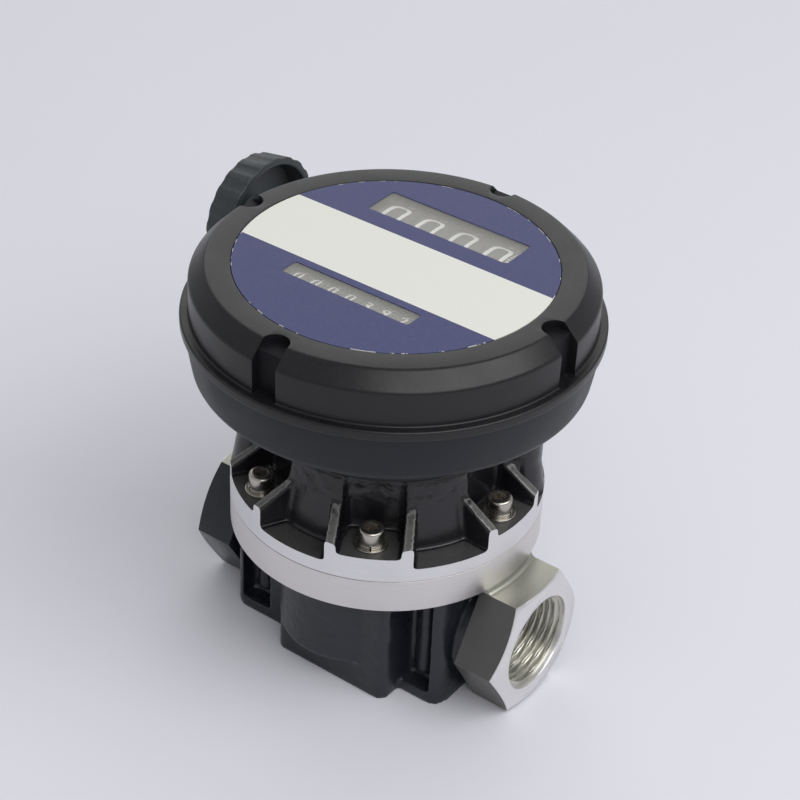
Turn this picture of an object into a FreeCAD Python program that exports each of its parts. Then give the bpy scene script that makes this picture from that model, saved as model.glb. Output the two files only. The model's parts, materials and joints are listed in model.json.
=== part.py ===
"""Oval gear flow meter with a mechanical register, in millimetres.

Frame: +Z up, origin on the base face under the register's axis, X along the flow.
Rotor axes stand at Y = -ROTOR_CENTRES/2 (drive gear) and +ROTOR_CENTRES/2 (idler gear).
"""
import FreeCAD, Part
import math
import os

V = FreeCAD.Vector
X_AXIS = V(1, 0, 0)
Z_AXIS = V(0, 0, 1)

# Fits shared by all pieces
RUN = 0.03            # radial clearance of a shaft that turns in a hole
SEAT = 0.01           # radial clearance of a pressed or screwed fit
GAP = 0.3             # free gap between pieces that pass each other
OVERCUT = 2.0         # how far a cutting tool runs past the face it opens

# Ports: parallel pipe thread, 1 inch nominal
PORT_MINOR_R = 30.291 / 2
PORT_MOUTH_R = 17.0
PORT_DEPTH = 19.0
PORT_FACE_X = 64.5
HEX_FLATS = 45.0
HEX_FOOT = 1.0        # lower flat above the base face
HEX_LENGTH = 16.0
HEX_CROWN_R = 22.0
HEX_CROWN_ANGLE = 22.0
COVE_R = 2.0          # hollow corner between the flange and the hexagon
COVE_SINK = 0.2
NECK_R = 19.5
PASSAGE_R = 9.0

# Rotors and chamber
ROTOR_CENTRES = 32.4
CHAMBER_R = 21.0
CHAMBER_WALL = 4.6
CHAMBER_FLOOR_Z = 17.5
PIN_R = 3.0
PIN_SOCKET = 9.0
BUSH_WALL = 2.0
OVAL_TEETH = 28
OVAL_TOOTH_DEPTH = 2.2
OVAL_TIP_HALF = 0.14   # shares of the tooth pitch
OVAL_ROOT_HALF = 0.28
OVAL_STEPS = 720
MAGNET_LAND = 0.7      # rotor wall between the magnet and the tooth roots
MAGNET_T = 4.0

# Body casting
PARTING_Z = 60.0
FLANGE_T = 12.5
FLANGE_RIM = 7.8
SEAL_LAND = 1.6
SEAL_W = 2.4
SEAL_T = 1.6
CHAMBER_FLOOR_T = 5.2
BLOCK_X = 43.5
BLOCK_Y = 26.5
BLOCK_ROUND = 4.5
FOOT_X = 27.0
FOOT_Y = 35.4
FOOT_ROUND = 3.0
POCKET_IN_X = 28.0
POCKET_END_WALL = 6.0
POCKET_DEPTH = 7.0
POCKET_FLOOR_Z = 4.5
POCKET_ROUND = 2.0
PAD_R = 3.3

# Cover casting
SCREW_COUNT = 6
SCREW_R = 2.5
SCREW_LAND = 1.5
SCREW_HEAD_R = 4.25
SCREW_HEAD_H = 5.0
SCREW_END_WALL = 1.6  # flange left under a tapped hole
SCREW_TIP_GAP = 1.0
SOCKET_FLATS = 4.0
SOCKET_DEPTH = 2.8
CLEARANCE_HOLE = 0.3
WASHER_R = 5.5
WASHER_T = 2.0
COVER_PLATE_T = 5.0
SCREW_SEAT_T = 9.0
RIB_OFFSET = 11.9     # from a screw sideways to the rib on each side of it
RIB_T = 3.6
RIB_RIM_H = 10.9      # rib top above the parting face, at the rim
RIB_HUB_H = 21.0      # and where it runs into the hub
POCKET_BACK = 8.6     # from the screw circle in to the pocket's back wall
POCKET_CORNER = 3.0   # round of a screw pocket's inner corners
HUB_BASE_IN = 1.5     # hub foot inside the screw circle
HUB_TAPER = 3.7
COVER_H = 29.0
LOBE_R = 8.5
LOBE_OUT = 2.4        # lobe centre inside the screw circle
LOBE_FLARE = 1.7
LOBE_FLARE_H = 11.0
LOBE_TOP_DROP = 1.0
LOBE_ANGLES = (30, 210)
WELL_CLEAR = 2.5
MEMBRANE_T = 3.0

# Register housing
GASKET_T = 1.0
NECK_WALL = 8.0
NECK_H = 6.0
BOWL_WALL = 2.0
BOWL_FOOT_H = 2.5     # straight foot under the slope
BOWL_SIDE_H = 16.5
BOWL_DRAFT = 2.6      # how far the side leans out
BOWL_ROUND = 2.5
JOINT_STEP = 1.0      # bezel lip outside the bowl's top edge
WHEEL_CLEAR = 0.4     # from the large wheels' corners to the collar
COLLAR_WALL = 2.8
HOUSING_SCREW_R = 2.5
HOUSING_SCREW_LAND = 2.4  # hub left outside a tapped hole
HOUSING_SCREW_HEAD_R = 4.25
HOUSING_SCREW_HEAD_H = 3.0
HOUSING_SCREW_LENGTH = 16.0
HOUSING_SCREW_ANGLES = (30, 150, 270)

# Bezel, lens and label
BEZEL_PLATE_T = 4.0
BEZEL_THREAD_GAP = 0.3
BEZEL_WALL_T = 4.3
BEZEL_LIP = 2.9
BEZEL_LIP_T = 3.4
BEZEL_CHAMFER_H = 5.3
BEZEL_CHAMFER_W = 5.2
BEZEL_SHELF_W = 8.9   # from the collar in to the opening
NOTCH_COUNT = 4
NOTCH_W = 9.0
NOTCH_LAND = 3.4      # from the opening out to a notch
NOTCH_SHELF_T = 2.7
NOTCH_WALL = 1.2
LENS_T = 1.5
LENS_FLANGE_T = 3.0
LENS_GASKET_T = 1.0
LENS_CLEAR = 1.3      # above the large wheels
SMALL_LENS_CLEAR = 0.8
LABEL_T = 0.3
LABEL_SINK = 0.1
BIG_WINDOW_SIDE = 0.5  # window past the end wheels
BIG_WINDOW_H = 14.0
SMALL_WINDOW_SIDE = 0.7
SMALL_WINDOW_H = 7.2
WINDOW_ROUND = 0.8

# Counters: large wheels on the reset shaft, small wheels on a fixed shaft
RESET_Y = 28.3
RESET_LIFT = 0.7      # large wheels above the base plate
RESET_WHEEL_R = 22.8
RESET_WHEELS = 4
RESET_PITCH = 13.5
RESET_SHAFT_R = 3.0
TOTAL_Y = -23.7
TOTAL_WHEEL_R = 10.0
TOTAL_WHEELS = 7
TOTAL_PITCH = 6.8
TOTAL_SHAFT_R = 2.5
WHEEL_RIM = 1.6
WHEEL_WEB = 2.0
WHEEL_SLIT = 0.6      # gap between neighbouring rims
HUB_WALL = 2.5
RESET_TRANSFER_ANGLE = 150.0
TOTAL_TRANSFER_ANGLE = -110.0
RESET_PINION_R = 4.0
TOTAL_PINION_R = 3.0
PINION_TEETH = 8
PINION_WIDTH = 0.45   # share of the wheel pitch
TRANSFER_SHAFT_R = 1.5

# Drive from the spindle to the counters
SPINDLE_R = 2.0
WORM_R = 4.4
WORM_ROOT_R = 3.1
WORM_TURNS = 4
WORM_L = 11.0
WORM_FLANKS = (0.2, 0.4, 0.6, 0.8)  # shares of one turn where the thread rises and falls
SPINDLE_END = 1.0
WORM_WHEEL_R = 8.0
WORM_WHEEL_TEETH = 20
WORM_WHEEL_W = 5.0
CROSS_LIFT = 15.5     # cross shaft above the base plate
CROSS_SHAFT_R = 2.5
MODULE = 1.0
TOOTH_TIP = 0.9        # in modules, outside the pitch circle
TOOTH_ROOT = 1.25      # in modules, inside it
TOOTH_TIP_HALF = 0.12  # shares of the tooth pitch
TOOTH_ROOT_HALF = 0.27
CROSS_TEETH = 20
IDLER_TEETH = 12
RESET_INPUT_TEETH = 22
TOTAL_INPUT_TEETH = 16
GEAR_W = 3.0
STUD_R = 1.5

# Register frame
PLATE_T = 1.5
BASE_PLATE_T = 1.5
FOOT_FLANGE = 9.5
FRAME_FOOT_FRONT_Y = -18.0
FRAME_FOOT_CLEAR = 3.3  # from the foot's back end to the housing screw beside it
FRAME_CLEAR = 6.1     # side plates under the lens
PLATE_EDGE = 7.5      # from a shaft's axis to the side plate's edge
FRAME_SCREW_R = 1.5
FRAME_SCREW_HEAD_R = 2.75
FRAME_SCREW_HEAD_H = 1.8
FRAME_SCREW_GRIP = 5.0
FRAME_SCREW_INSET = 6.0

# Reset knob
KNOB_R = 24.0
KNOB_T = 11.0
KNOB_WEB = 3.2
KNOB_RIM = 2.0
KNOB_FLUTES = 20
KNOB_FLUTE_R = 4.5
KNOB_FLUTE_DEPTH = 0.8
KNOB_HUB_R = 7.0
KNOB_STANDOFF = 6.0   # from the bezel's lip to the knob's rim
KNOB_SCREW_R = 1.5
KNOB_SCREW_HEAD_R = 2.75
KNOB_SCREW_HEAD_H = 1.4
KNOB_SCREW_LENGTH = 8.0
GLAND_R = 8.0
GLAND_OUT = 4.5
KNOB_BUSH_WALL = 1.6
GLAND_ROOF = 0.87     # from the bush's hole up to the bezel joint
KNOB_SEAL_T = 1.5

# Places worked out from the sizes above, from the base up
ROTOR_Y = ROTOR_CENTRES / 2
PORT_AXIS_Z = HEX_FLATS / 2 + HEX_FOOT
BULGE_BOTTOM_Z = CHAMBER_FLOOR_Z - CHAMBER_FLOOR_T
MAGNET_R = ROTOR_CENTRES - CHAMBER_R - OVAL_TOOTH_DEPTH - MAGNET_LAND
SEAL_IN_R = ROTOR_Y + CHAMBER_R + SEAL_LAND
SCREW_CIRCLE = SEAL_IN_R + SEAL_W + SCREW_LAND + SCREW_R
FLANGE_R = SCREW_CIRCLE + FLANGE_RIM
FLANGE_Z = PARTING_Z - FLANGE_T
POCKET_OUT_X = BLOCK_X - POCKET_END_WALL
COVER_TOP_Z = PARTING_Z + COVER_H
SCREW_SEAT_Z = PARTING_Z + SCREW_SEAT_T
SCREW_HEAD_Z = SCREW_SEAT_Z + WASHER_T
SCREW_TIP_Z = FLANGE_Z + SCREW_END_WALL + SCREW_TIP_GAP
SCREW_LENGTH = SCREW_HEAD_Z - SCREW_TIP_Z
SCREW_POCKET_R = SCREW_CIRCLE - POCKET_BACK
SCREW_POCKET_HALF = RIB_OFFSET - RIB_T / 2
WELL_R = MAGNET_R + WELL_CLEAR
HUB_BASE_R = SCREW_CIRCLE - HUB_BASE_IN
HUB_TOP_R = HUB_BASE_R - HUB_TAPER
GASKET_Z = COVER_TOP_Z + GASKET_T
NECK_IN_R = HUB_TOP_R - NECK_WALL
FLOOR_Z = GASKET_Z + NECK_H
BASE_TOP_Z = FLOOR_Z + BASE_PLATE_T
CROSS_Y = -ROTOR_Y + WORM_R + WORM_WHEEL_R + GAP
CROSS_Z = BASE_TOP_Z + CROSS_LIFT
RESET_Z = BASE_TOP_Z + RESET_LIFT + RESET_WHEEL_R
RESET_HALF = RESET_WHEELS * RESET_PITCH / 2
TOTAL_HALF = TOTAL_WHEELS * TOTAL_PITCH / 2
WHEELS_HALF = max(RESET_HALF, TOTAL_HALF)
LENS_UNDER_Z = RESET_Z + RESET_WHEEL_R + LENS_CLEAR
LABEL_Z = LENS_UNDER_Z + LENS_T
TOTAL_Z = LENS_UNDER_Z - SMALL_LENS_CLEAR - TOTAL_WHEEL_R
FRAME_TOP_Z = LENS_UNDER_Z - FRAME_CLEAR
COLLAR_IN_R = math.hypot(RESET_HALF, RESET_Y + RESET_WHEEL_R) + WHEEL_CLEAR
COLLAR_R = COLLAR_IN_R + COLLAR_WALL
BEZEL_BORE_R = COLLAR_R + BEZEL_THREAD_GAP
BEZEL_WALL_R = BEZEL_BORE_R + BEZEL_WALL_T
BEZEL_LIP_R = BEZEL_WALL_R + BEZEL_LIP
BEZEL_FACE_R = BEZEL_WALL_R - BEZEL_CHAMFER_W
OPENING_R = COLLAR_R - BEZEL_SHELF_W
NOTCH_IN_R = OPENING_R + NOTCH_LAND
LENS_R = COLLAR_R - GAP
BEZEL_TOP_Z = LABEL_Z + LABEL_T + LABEL_SINK
BEZEL_SHELF_Z = BEZEL_TOP_Z - BEZEL_PLATE_T
LENS_FLANGE_Z = BEZEL_SHELF_Z - LENS_FLANGE_T
COLLAR_TOP_Z = LENS_FLANGE_Z - LENS_GASKET_T
KNOB_BUSH_R = RESET_SHAFT_R + RUN + KNOB_BUSH_WALL
JOINT_R = BEZEL_LIP_R - JOINT_STEP
JOINT_Z = RESET_Z + KNOB_BUSH_R + GLAND_ROOF
BOWL_EDGE_R = JOINT_R - BOWL_DRAFT
BOWL_EDGE_Z = JOINT_Z - BOWL_SIDE_H
BOWL_FOOT_Z = GASKET_Z + BOWL_FOOT_H
BOWL_RISE = (BOWL_EDGE_Z - BOWL_FOOT_Z) / (BOWL_EDGE_R - HUB_TOP_R)
BOWL_LIFT = BOWL_WALL * math.hypot(1, BOWL_RISE)
FLOOR_R = HUB_TOP_R + (FLOOR_Z - BOWL_FOOT_Z - BOWL_LIFT) / BOWL_RISE
HOUSING_SCREW_CIRCLE = HUB_TOP_R - HOUSING_SCREW_LAND - HOUSING_SCREW_R
FRAME_FOOT_BACK_Y = HOUSING_SCREW_CIRCLE / 2 - HOUSING_SCREW_HEAD_R - FRAME_FOOT_CLEAR
FRAME_FOOT_Y = (FRAME_FOOT_FRONT_Y, FRAME_FOOT_BACK_Y)
GEAR_X = WHEELS_HALF + GEAR_W / 2
RIGHT_PLATE_X = GEAR_X + GEAR_W + GEAR_W / 2
LEFT_PLATE_X = -WHEELS_HALF - GEAR_W / 2 - PLATE_T
WALL_X = -math.sqrt((JOINT_R - BOWL_WALL) ** 2 - RESET_Y ** 2)
GLAND_IN_X = WALL_X + GLAND_OUT
GLAND_X = -math.sqrt(JOINT_R ** 2 - RESET_Y ** 2) - GLAND_OUT
KNOB_X = -(BEZEL_LIP_R + KNOB_STANDOFF)
KNOB_FACE_X = KNOB_X - KNOB_T
KNOB_SEAT_X = KNOB_FACE_X + KNOB_SCREW_HEAD_H + SEAT
RESET_SHAFT_END_X = KNOB_SEAT_X + KNOB_WEB / 2


def cyl(r, z0, z1, x=0.0, y=0.0):
    """Upright cylinder from z0 to z1."""
    return Part.makeCylinder(r, z1 - z0, V(x, y, z0), Z_AXIS)


def rod(r, x0, x1, y, z):
    """Cylinder along X from x0 to x1."""
    return Part.makeCylinder(r, x1 - x0, V(x0, y, z), X_AXIS)


def box(x0, x1, y0, y1, z0, z1):
    return Part.makeBox(x1 - x0, y1 - y0, z1 - z0, V(x0, y0, z0))


def tube(r_in, r_out, z0, z1, x=0.0, y=0.0):
    return cyl(r_out, z0, z1, x, y).cut(cyl(r_in, z0, z1, x, y))


def sleeve(r_in, r_out, x0, x1, y, z):
    return rod(r_out, x0, x1, y, z).cut(rod(r_in, x0, x1, y, z))


def loop(points):
    return Part.Face(Part.makePolygon(points + points[:1]))


def lathe(profile, y=0.0):
    """Turn (radius, z) points about the upright axis at Y = y."""
    return loop([V(r, y, z) for r, z in profile]).revolve(V(0, y, 0), Z_AXIS, 360)


def lathe_x(profile, y, z):
    """Turn (x, radius) points about the axis along X through (y, z)."""
    return loop([V(x, y, z + r) for x, r in profile]).revolve(V(0, y, z), X_AXIS, 360)


def polar(r, degrees):
    a = math.radians(degrees)
    return r * math.cos(a), r * math.sin(a)


def turned(shape, degrees):
    """A copy of the shape turned about the meter's axis."""
    copy = shape.copy()
    copy.rotate(V(0, 0, 0), Z_AXIS, degrees)
    return copy


def around(shape, count, start=0.0):
    return [turned(shape, start + 360.0 * i / count) for i in range(count)]


def rounded_plan(half_x, half_y, r, z0, z1, x=0.0, y=0.0):
    """Upright block with rounded corners, centred on (x, y)."""
    edges = []
    corners = [(1, 1, 0), (-1, 1, 90), (-1, -1, 180), (1, -1, 270)]
    arcs = []
    for sx, sy, start in corners:
        centre = V(x + sx * (half_x - r), y + sy * (half_y - r), z0)
        ends = [centre + V(*polar(r, start + turn), 0) for turn in (0, 45, 90)]
        arcs.append(ends)
    for i, ends in enumerate(arcs):
        edges.append(Part.Arc(*ends).toShape())
        edges.append(Part.makeLine(ends[2], arcs[(i + 1) % 4][0]))
    return Part.Face(Part.Wire(edges)).extrude(V(0, 0, z1 - z0))


def screw(head_r, head_h, shank_r, length, z, x, y):
    """Socket head screw whose head sits on height z."""
    head = cyl(head_r, z, z + head_h, x, y)
    return head.fuse(cyl(shank_r - SEAT, z - length, z, x, y))


def hexagon(flats, x0, x1, z):
    """Hexagon bar along X with its flats at top and bottom."""
    r = flats / math.sqrt(3)
    corners = [V(x0, *polar(r, a)) + V(0, 0, z) for a in range(0, 360, 60)]
    return loop(corners).extrude(V(x1 - x0, 0, 0))


def spur(teeth, module, x0, x1, y, z, phase=0.0):
    """Spur gear along X; phase is the angle of one tooth's middle, from +Y towards +Z."""
    pitch = 2 * math.pi / teeth
    pitch_r = teeth * module / 2
    tip_r, root_r = pitch_r + TOOTH_TIP * module, pitch_r - TOOTH_ROOT * module
    tip_half, root_half = TOOTH_TIP_HALF * pitch, TOOTH_ROOT_HALF * pitch
    points = []
    for i in range(teeth):
        middle = math.radians(phase) + i * pitch
        for r, turn in ((root_r, -root_half), (tip_r, -tip_half), (tip_r, tip_half), (root_r, root_half)):
            a = middle + turn
            points.append(V(x0, y + r * math.cos(a), z + r * math.sin(a)))
    return loop(points).extrude(V(x1 - x0, 0, 0))


def tip_module(tip_r, teeth):
    """Module of a spur gear that has this tip radius."""
    return tip_r / (teeth / 2 + TOOTH_TIP)


def mesh_phase(teeth, phase, mate_teeth, towards):
    """Phase of a mate that lies in direction 'towards', so that its gap takes a tooth."""
    offset = ((towards - phase) * teeth / 360.0) % 1.0
    return towards + 180 + (offset + 0.5) * 360.0 / mate_teeth


def apart(p, q, from_p, from_q, side):
    """Point at the two given distances from p and q, on the chosen side of the line p-q."""
    dy, dz = q[0] - p[0], q[1] - p[1]
    span = math.hypot(dy, dz)
    along = (span ** 2 + from_p ** 2 - from_q ** 2) / (2 * span)
    off = side * math.sqrt(max(from_p ** 2 - along ** 2, 0.0))
    return p[0] + (along * dy - off * dz) / span, p[1] + (along * dz + off * dy) / span


def direction(p, q):
    return math.degrees(math.atan2(q[1] - p[1], q[0] - p[0]))


def make_body():
    """Cast body: flange, chamber bulges, foot, cored pockets and two hexagon ports."""
    block = rounded_plan(BLOCK_X, BLOCK_Y, BLOCK_ROUND, 0, FLANGE_Z)
    pocket_x = (POCKET_IN_X + POCKET_OUT_X) / 2
    pocket_half = (POCKET_OUT_X - POCKET_IN_X) / 2
    pad_y = BLOCK_Y - POCKET_DEPTH
    pad_z = POCKET_FLOOR_Z + PAD_R + POCKET_ROUND
    pockets, pads = [], []
    for sx in (-1, 1):
        for sy in (-1, 1):
            pockets.append(rounded_plan(pocket_half, POCKET_DEPTH, POCKET_ROUND, POCKET_FLOOR_Z,
                                        FLANGE_Z, sx * pocket_x, sy * BLOCK_Y))
            pads.append(cyl(PAD_R, pad_z, FLANGE_Z, sx * pocket_x, sy * pad_y))
            pads.append(Part.makeSphere(PAD_R, V(sx * pocket_x, sy * pad_y, pad_z)))
    solids = [rounded_plan(FOOT_X, FOOT_Y, FOOT_ROUND, 0, FLANGE_Z), cyl(FLANGE_R, FLANGE_Z, PARTING_Z)]
    solids += pads
    for sy in (-1, 1):
        solids.append(cyl(CHAMBER_R + CHAMBER_WALL, BULGE_BOTTOM_Z, FLANGE_Z, 0, sy * ROTOR_Y))
    crown_l = (HEX_FLATS / math.sqrt(3) + OVERCUT - HEX_CROWN_R) * math.tan(math.radians(HEX_CROWN_ANGLE))
    crown = [(0, 0), (0, HEX_FLATS), (PORT_FACE_X - crown_l, HEX_FLATS / math.sqrt(3) + OVERCUT),
             (PORT_FACE_X, HEX_CROWN_R), (PORT_FACE_X, 0)]
    port = hexagon(HEX_FLATS, PORT_FACE_X - HEX_LENGTH, PORT_FACE_X, PORT_AXIS_Z)
    port = port.common(lathe_x(crown, 0, PORT_AXIS_Z))
    port = port.fuse(rod(NECK_R, ROTOR_Y, PORT_FACE_X - HEX_LENGTH, 0, PORT_AXIS_Z))
    web_half = HEX_FLATS / math.sqrt(3) / 2
    web = box(ROTOR_Y, FLANGE_R, -web_half, web_half, PORT_AXIS_Z, FLANGE_Z)
    port = port.fuse(web.common(cyl(FLANGE_R, PORT_AXIS_Z, FLANGE_Z)))
    flat_z = PORT_AXIS_Z + HEX_FLATS / 2
    cove_r, cove_z = FLANGE_R + COVE_R - COVE_SINK, flat_z + COVE_R - COVE_SINK
    cove = tube(FLANGE_R - OVERCUT, cove_r, flat_z - OVERCUT, cove_z)
    cove = cove.cut(Part.makeTorus(cove_r, COVE_R, V(0, 0, cove_z), Z_AXIS))
    port = port.fuse(cove.common(box(0, cove_r, -web_half, web_half, PORT_AXIS_Z, PARTING_Z)))
    solids += [port, turned(port, 180)]
    body = block.cut(pockets).multiFuse(solids)

    cuts = []
    for sy in (-1, 1):
        cuts.append(cyl(CHAMBER_R, CHAMBER_FLOOR_Z, PARTING_Z + OVERCUT, 0, sy * ROTOR_Y))
        pin_z = CHAMBER_FLOOR_Z - PIN_SOCKET
        cuts.append(cyl(PIN_R + SEAT, pin_z, CHAMBER_FLOOR_Z + OVERCUT, 0, sy * ROTOR_Y))
    bottom_x = PORT_FACE_X - PORT_DEPTH
    mouth = PORT_MOUTH_R - PORT_MINOR_R
    bore = lathe_x([(bottom_x, 0), (bottom_x, PORT_MINOR_R), (PORT_FACE_X - mouth, PORT_MINOR_R),
                    (PORT_FACE_X, PORT_MOUTH_R), (PORT_FACE_X + OVERCUT, PORT_MOUTH_R),
                    (PORT_FACE_X + OVERCUT, 0)], 0, PORT_AXIS_Z)
    passage = rod(PASSAGE_R, CHAMBER_R / 2, bottom_x + OVERCUT, 0, CHAMBER_FLOOR_Z + PASSAGE_R)
    for cut in (bore, passage):
        cuts += [cut, turned(cut, 180)]
    tapped = cyl(SCREW_R, SCREW_TIP_Z - SCREW_TIP_GAP, PARTING_Z + OVERCUT, SCREW_CIRCLE)
    cuts += around(tapped, SCREW_COUNT)
    cuts.append(tube(SEAL_IN_R, SEAL_IN_R + SEAL_W, PARTING_Z - SEAL_T, PARTING_Z + OVERCUT))
    return body.cut(cuts).removeSplitter()


def make_body_seal():
    """O-ring squeezed flat in its groove."""
    return tube(SEAL_IN_R + SEAT, SEAL_IN_R + SEAL_W - SEAT, PARTING_Z - SEAL_T, PARTING_Z)


def make_rotor_pins():
    top = PARTING_Z - GAP
    return [cyl(PIN_R, CHAMBER_FLOOR_Z - PIN_SOCKET, top, 0, sy * ROTOR_Y) for sy in (-1, 1)]


def oval_points(long_angle, z):
    """Toothed oval outline about the origin, teeth spaced evenly along its tips."""
    tip_a = CHAMBER_R - GAP
    tip_b = ROTOR_CENTRES - tip_a - GAP
    e = (tip_a - tip_b) / (tip_a + tip_b)
    p = tip_a * (1 - e)

    def tip(a):
        return p / (1 - e * math.cos(2 * a))

    steps = OVAL_STEPS
    lengths = [0.0]
    for i in range(steps):
        a0, a1 = 2 * math.pi * i / steps, 2 * math.pi * (i + 1) / steps
        p0, p1 = V(*polar(tip(a0), math.degrees(a0)), 0), V(*polar(tip(a1), math.degrees(a1)), 0)
        lengths.append(lengths[-1] + (p1 - p0).Length)

    def angle_at(share):
        goal = (share % 1.0) * lengths[-1]
        i = next(n for n in range(steps) if lengths[n + 1] >= goal)
        part = (goal - lengths[i]) / (lengths[i + 1] - lengths[i])
        return 2 * math.pi * (i + part) / steps

    flanks = [(-OVAL_ROOT_HALF, OVAL_TOOTH_DEPTH), (-OVAL_TIP_HALF, 0),
              (OVAL_TIP_HALF, 0), (OVAL_ROOT_HALF, OVAL_TOOTH_DEPTH)]
    points = []
    for i in range(OVAL_TEETH):
        for share, depth in flanks:
            a = angle_at((i + share) / OVAL_TEETH)
            points.append(V(*polar(tip(a) - depth, math.degrees(a) + long_angle), z))
    return points


def make_oval_gear(y, long_angle, magnet):
    """Oval rotor on its bush; the drive gear has a seat for the ring magnet in its top."""
    z0, z1 = CHAMBER_FLOOR_Z + GAP, PARTING_Z - GAP
    gear = loop(oval_points(long_angle, z0)).extrude(V(0, 0, z1 - z0))
    gear = gear.cut(cyl(PIN_R + BUSH_WALL + SEAT, z0, z1))
    if magnet:
        gear = gear.cut(cyl(MAGNET_R + SEAT, z1 - MAGNET_T, z1))
    gear.translate(V(0, y, 0))
    return gear


def make_gear_bush(y):
    return tube(PIN_R + RUN, PIN_R + BUSH_WALL, CHAMBER_FLOOR_Z + GAP, PARTING_Z - GAP, 0, y)


def make_drive_magnet():
    top = PARTING_Z - GAP
    return tube(PIN_R + BUSH_WALL + SEAT, MAGNET_R, top - MAGNET_T, top, 0, -ROTOR_Y)


def screw_pocket(top):
    """Room for one cover screw: parallel sides, round inner corners, open towards the rim."""
    room = box(SCREW_POCKET_R, FLANGE_R + OVERCUT, -SCREW_POCKET_HALF, SCREW_POCKET_HALF, SCREW_SEAT_Z, top)
    inner = [e for e in room.Edges if e.CenterOfMass.x < FLANGE_R and e.CenterOfMass.z < top - GAP]
    return room.makeFillet(POCKET_CORNER, inner)


def make_cover():
    """Ribbed cover: screw pockets round the rim, tapered hub, two cast lobes, magnet well."""
    plate_z = PARTING_Z + COVER_PLATE_T
    seat = box(0, FLANGE_R, -RIB_OFFSET, RIB_OFFSET, plate_z, SCREW_SEAT_Z)
    hub = lathe([(0, plate_z), (HUB_BASE_R, plate_z), (HUB_TOP_R, COVER_TOP_Z), (0, COVER_TOP_Z)])
    hub_x = math.sqrt(HUB_TOP_R ** 2 - RIB_OFFSET ** 2)
    rim_x = math.sqrt(FLANGE_R ** 2 - RIB_OFFSET ** 2)
    slope = (RIB_HUB_H - RIB_RIM_H) / (rim_x - hub_x)
    rib_profile = [(SCREW_POCKET_R, COVER_PLATE_T), (FLANGE_R, COVER_PLATE_T),
                   (FLANGE_R, RIB_RIM_H - (FLANGE_R - rim_x) * slope), (hub_x, RIB_HUB_H),
                   (SCREW_POCKET_R, RIB_HUB_H)]
    rib = loop([V(x, -RIB_T / 2, PARTING_Z + h) for x, h in rib_profile]).extrude(V(0, RIB_T, 0))
    ribs = [rib.translated(V(0, side * RIB_OFFSET, 0)) for side in (-1, 1)]
    lobe_x = SCREW_CIRCLE - LOBE_OUT
    lobe_top = COVER_TOP_Z - LOBE_TOP_DROP
    lobe = cyl(LOBE_R, plate_z, lobe_top, lobe_x)
    lobe = lobe.fuse(Part.makeCone(LOBE_R + LOBE_FLARE, LOBE_R, LOBE_FLARE_H, V(lobe_x, 0, plate_z)))
    pocket = screw_pocket(COVER_TOP_Z + OVERCUT)

    solids = [hub] + around(seat, SCREW_COUNT)
    for rib in ribs:
        solids += around(rib, SCREW_COUNT)
    solids += [turned(lobe, a) for a in LOBE_ANGLES]
    cover = cyl(FLANGE_R, PARTING_Z, plate_z).multiFuse(solids)
    cover = cover.common(cyl(FLANGE_R, PARTING_Z, COVER_TOP_Z))
    cuts = around(pocket, SCREW_COUNT)
    cuts += around(cyl(SCREW_R + CLEARANCE_HOLE, PARTING_Z - OVERCUT, SCREW_SEAT_Z + OVERCUT, SCREW_CIRCLE),
                   SCREW_COUNT)
    cuts.append(cyl(WELL_R, PARTING_Z + MEMBRANE_T, COVER_TOP_Z + OVERCUT, 0, -ROTOR_Y))
    housing_tap = cyl(HOUSING_SCREW_R, FLOOR_Z - HOUSING_SCREW_LENGTH - SCREW_TIP_GAP,
                      COVER_TOP_Z + OVERCUT, HOUSING_SCREW_CIRCLE)
    cuts += [turned(housing_tap, a) for a in HOUSING_SCREW_ANGLES]
    return cover.cut(cuts).removeSplitter()


def make_cover_screws():
    one = screw(SCREW_HEAD_R, SCREW_HEAD_H, SCREW_R, SCREW_LENGTH, SCREW_HEAD_Z, SCREW_CIRCLE, 0)
    top = SCREW_HEAD_Z + SCREW_HEAD_H
    r = SOCKET_FLATS / math.sqrt(3)
    corners = [V(*polar(r, a), top) + V(SCREW_CIRCLE, 0, 0) for a in range(0, 360, 60)]
    one = one.cut(loop(corners).extrude(V(0, 0, -SOCKET_DEPTH)))
    return around(one, SCREW_COUNT)


def make_cover_washers():
    one = tube(SCREW_R + CLEARANCE_HOLE, WASHER_R, SCREW_SEAT_Z, SCREW_HEAD_Z, SCREW_CIRCLE)
    return around(one, SCREW_COUNT)


def bowl_inner(r):
    """Height of the bowl's sloping inner side at a radius."""
    return BOWL_FOOT_Z + BOWL_LIFT + (r - HUB_TOP_R) * BOWL_RISE


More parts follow.
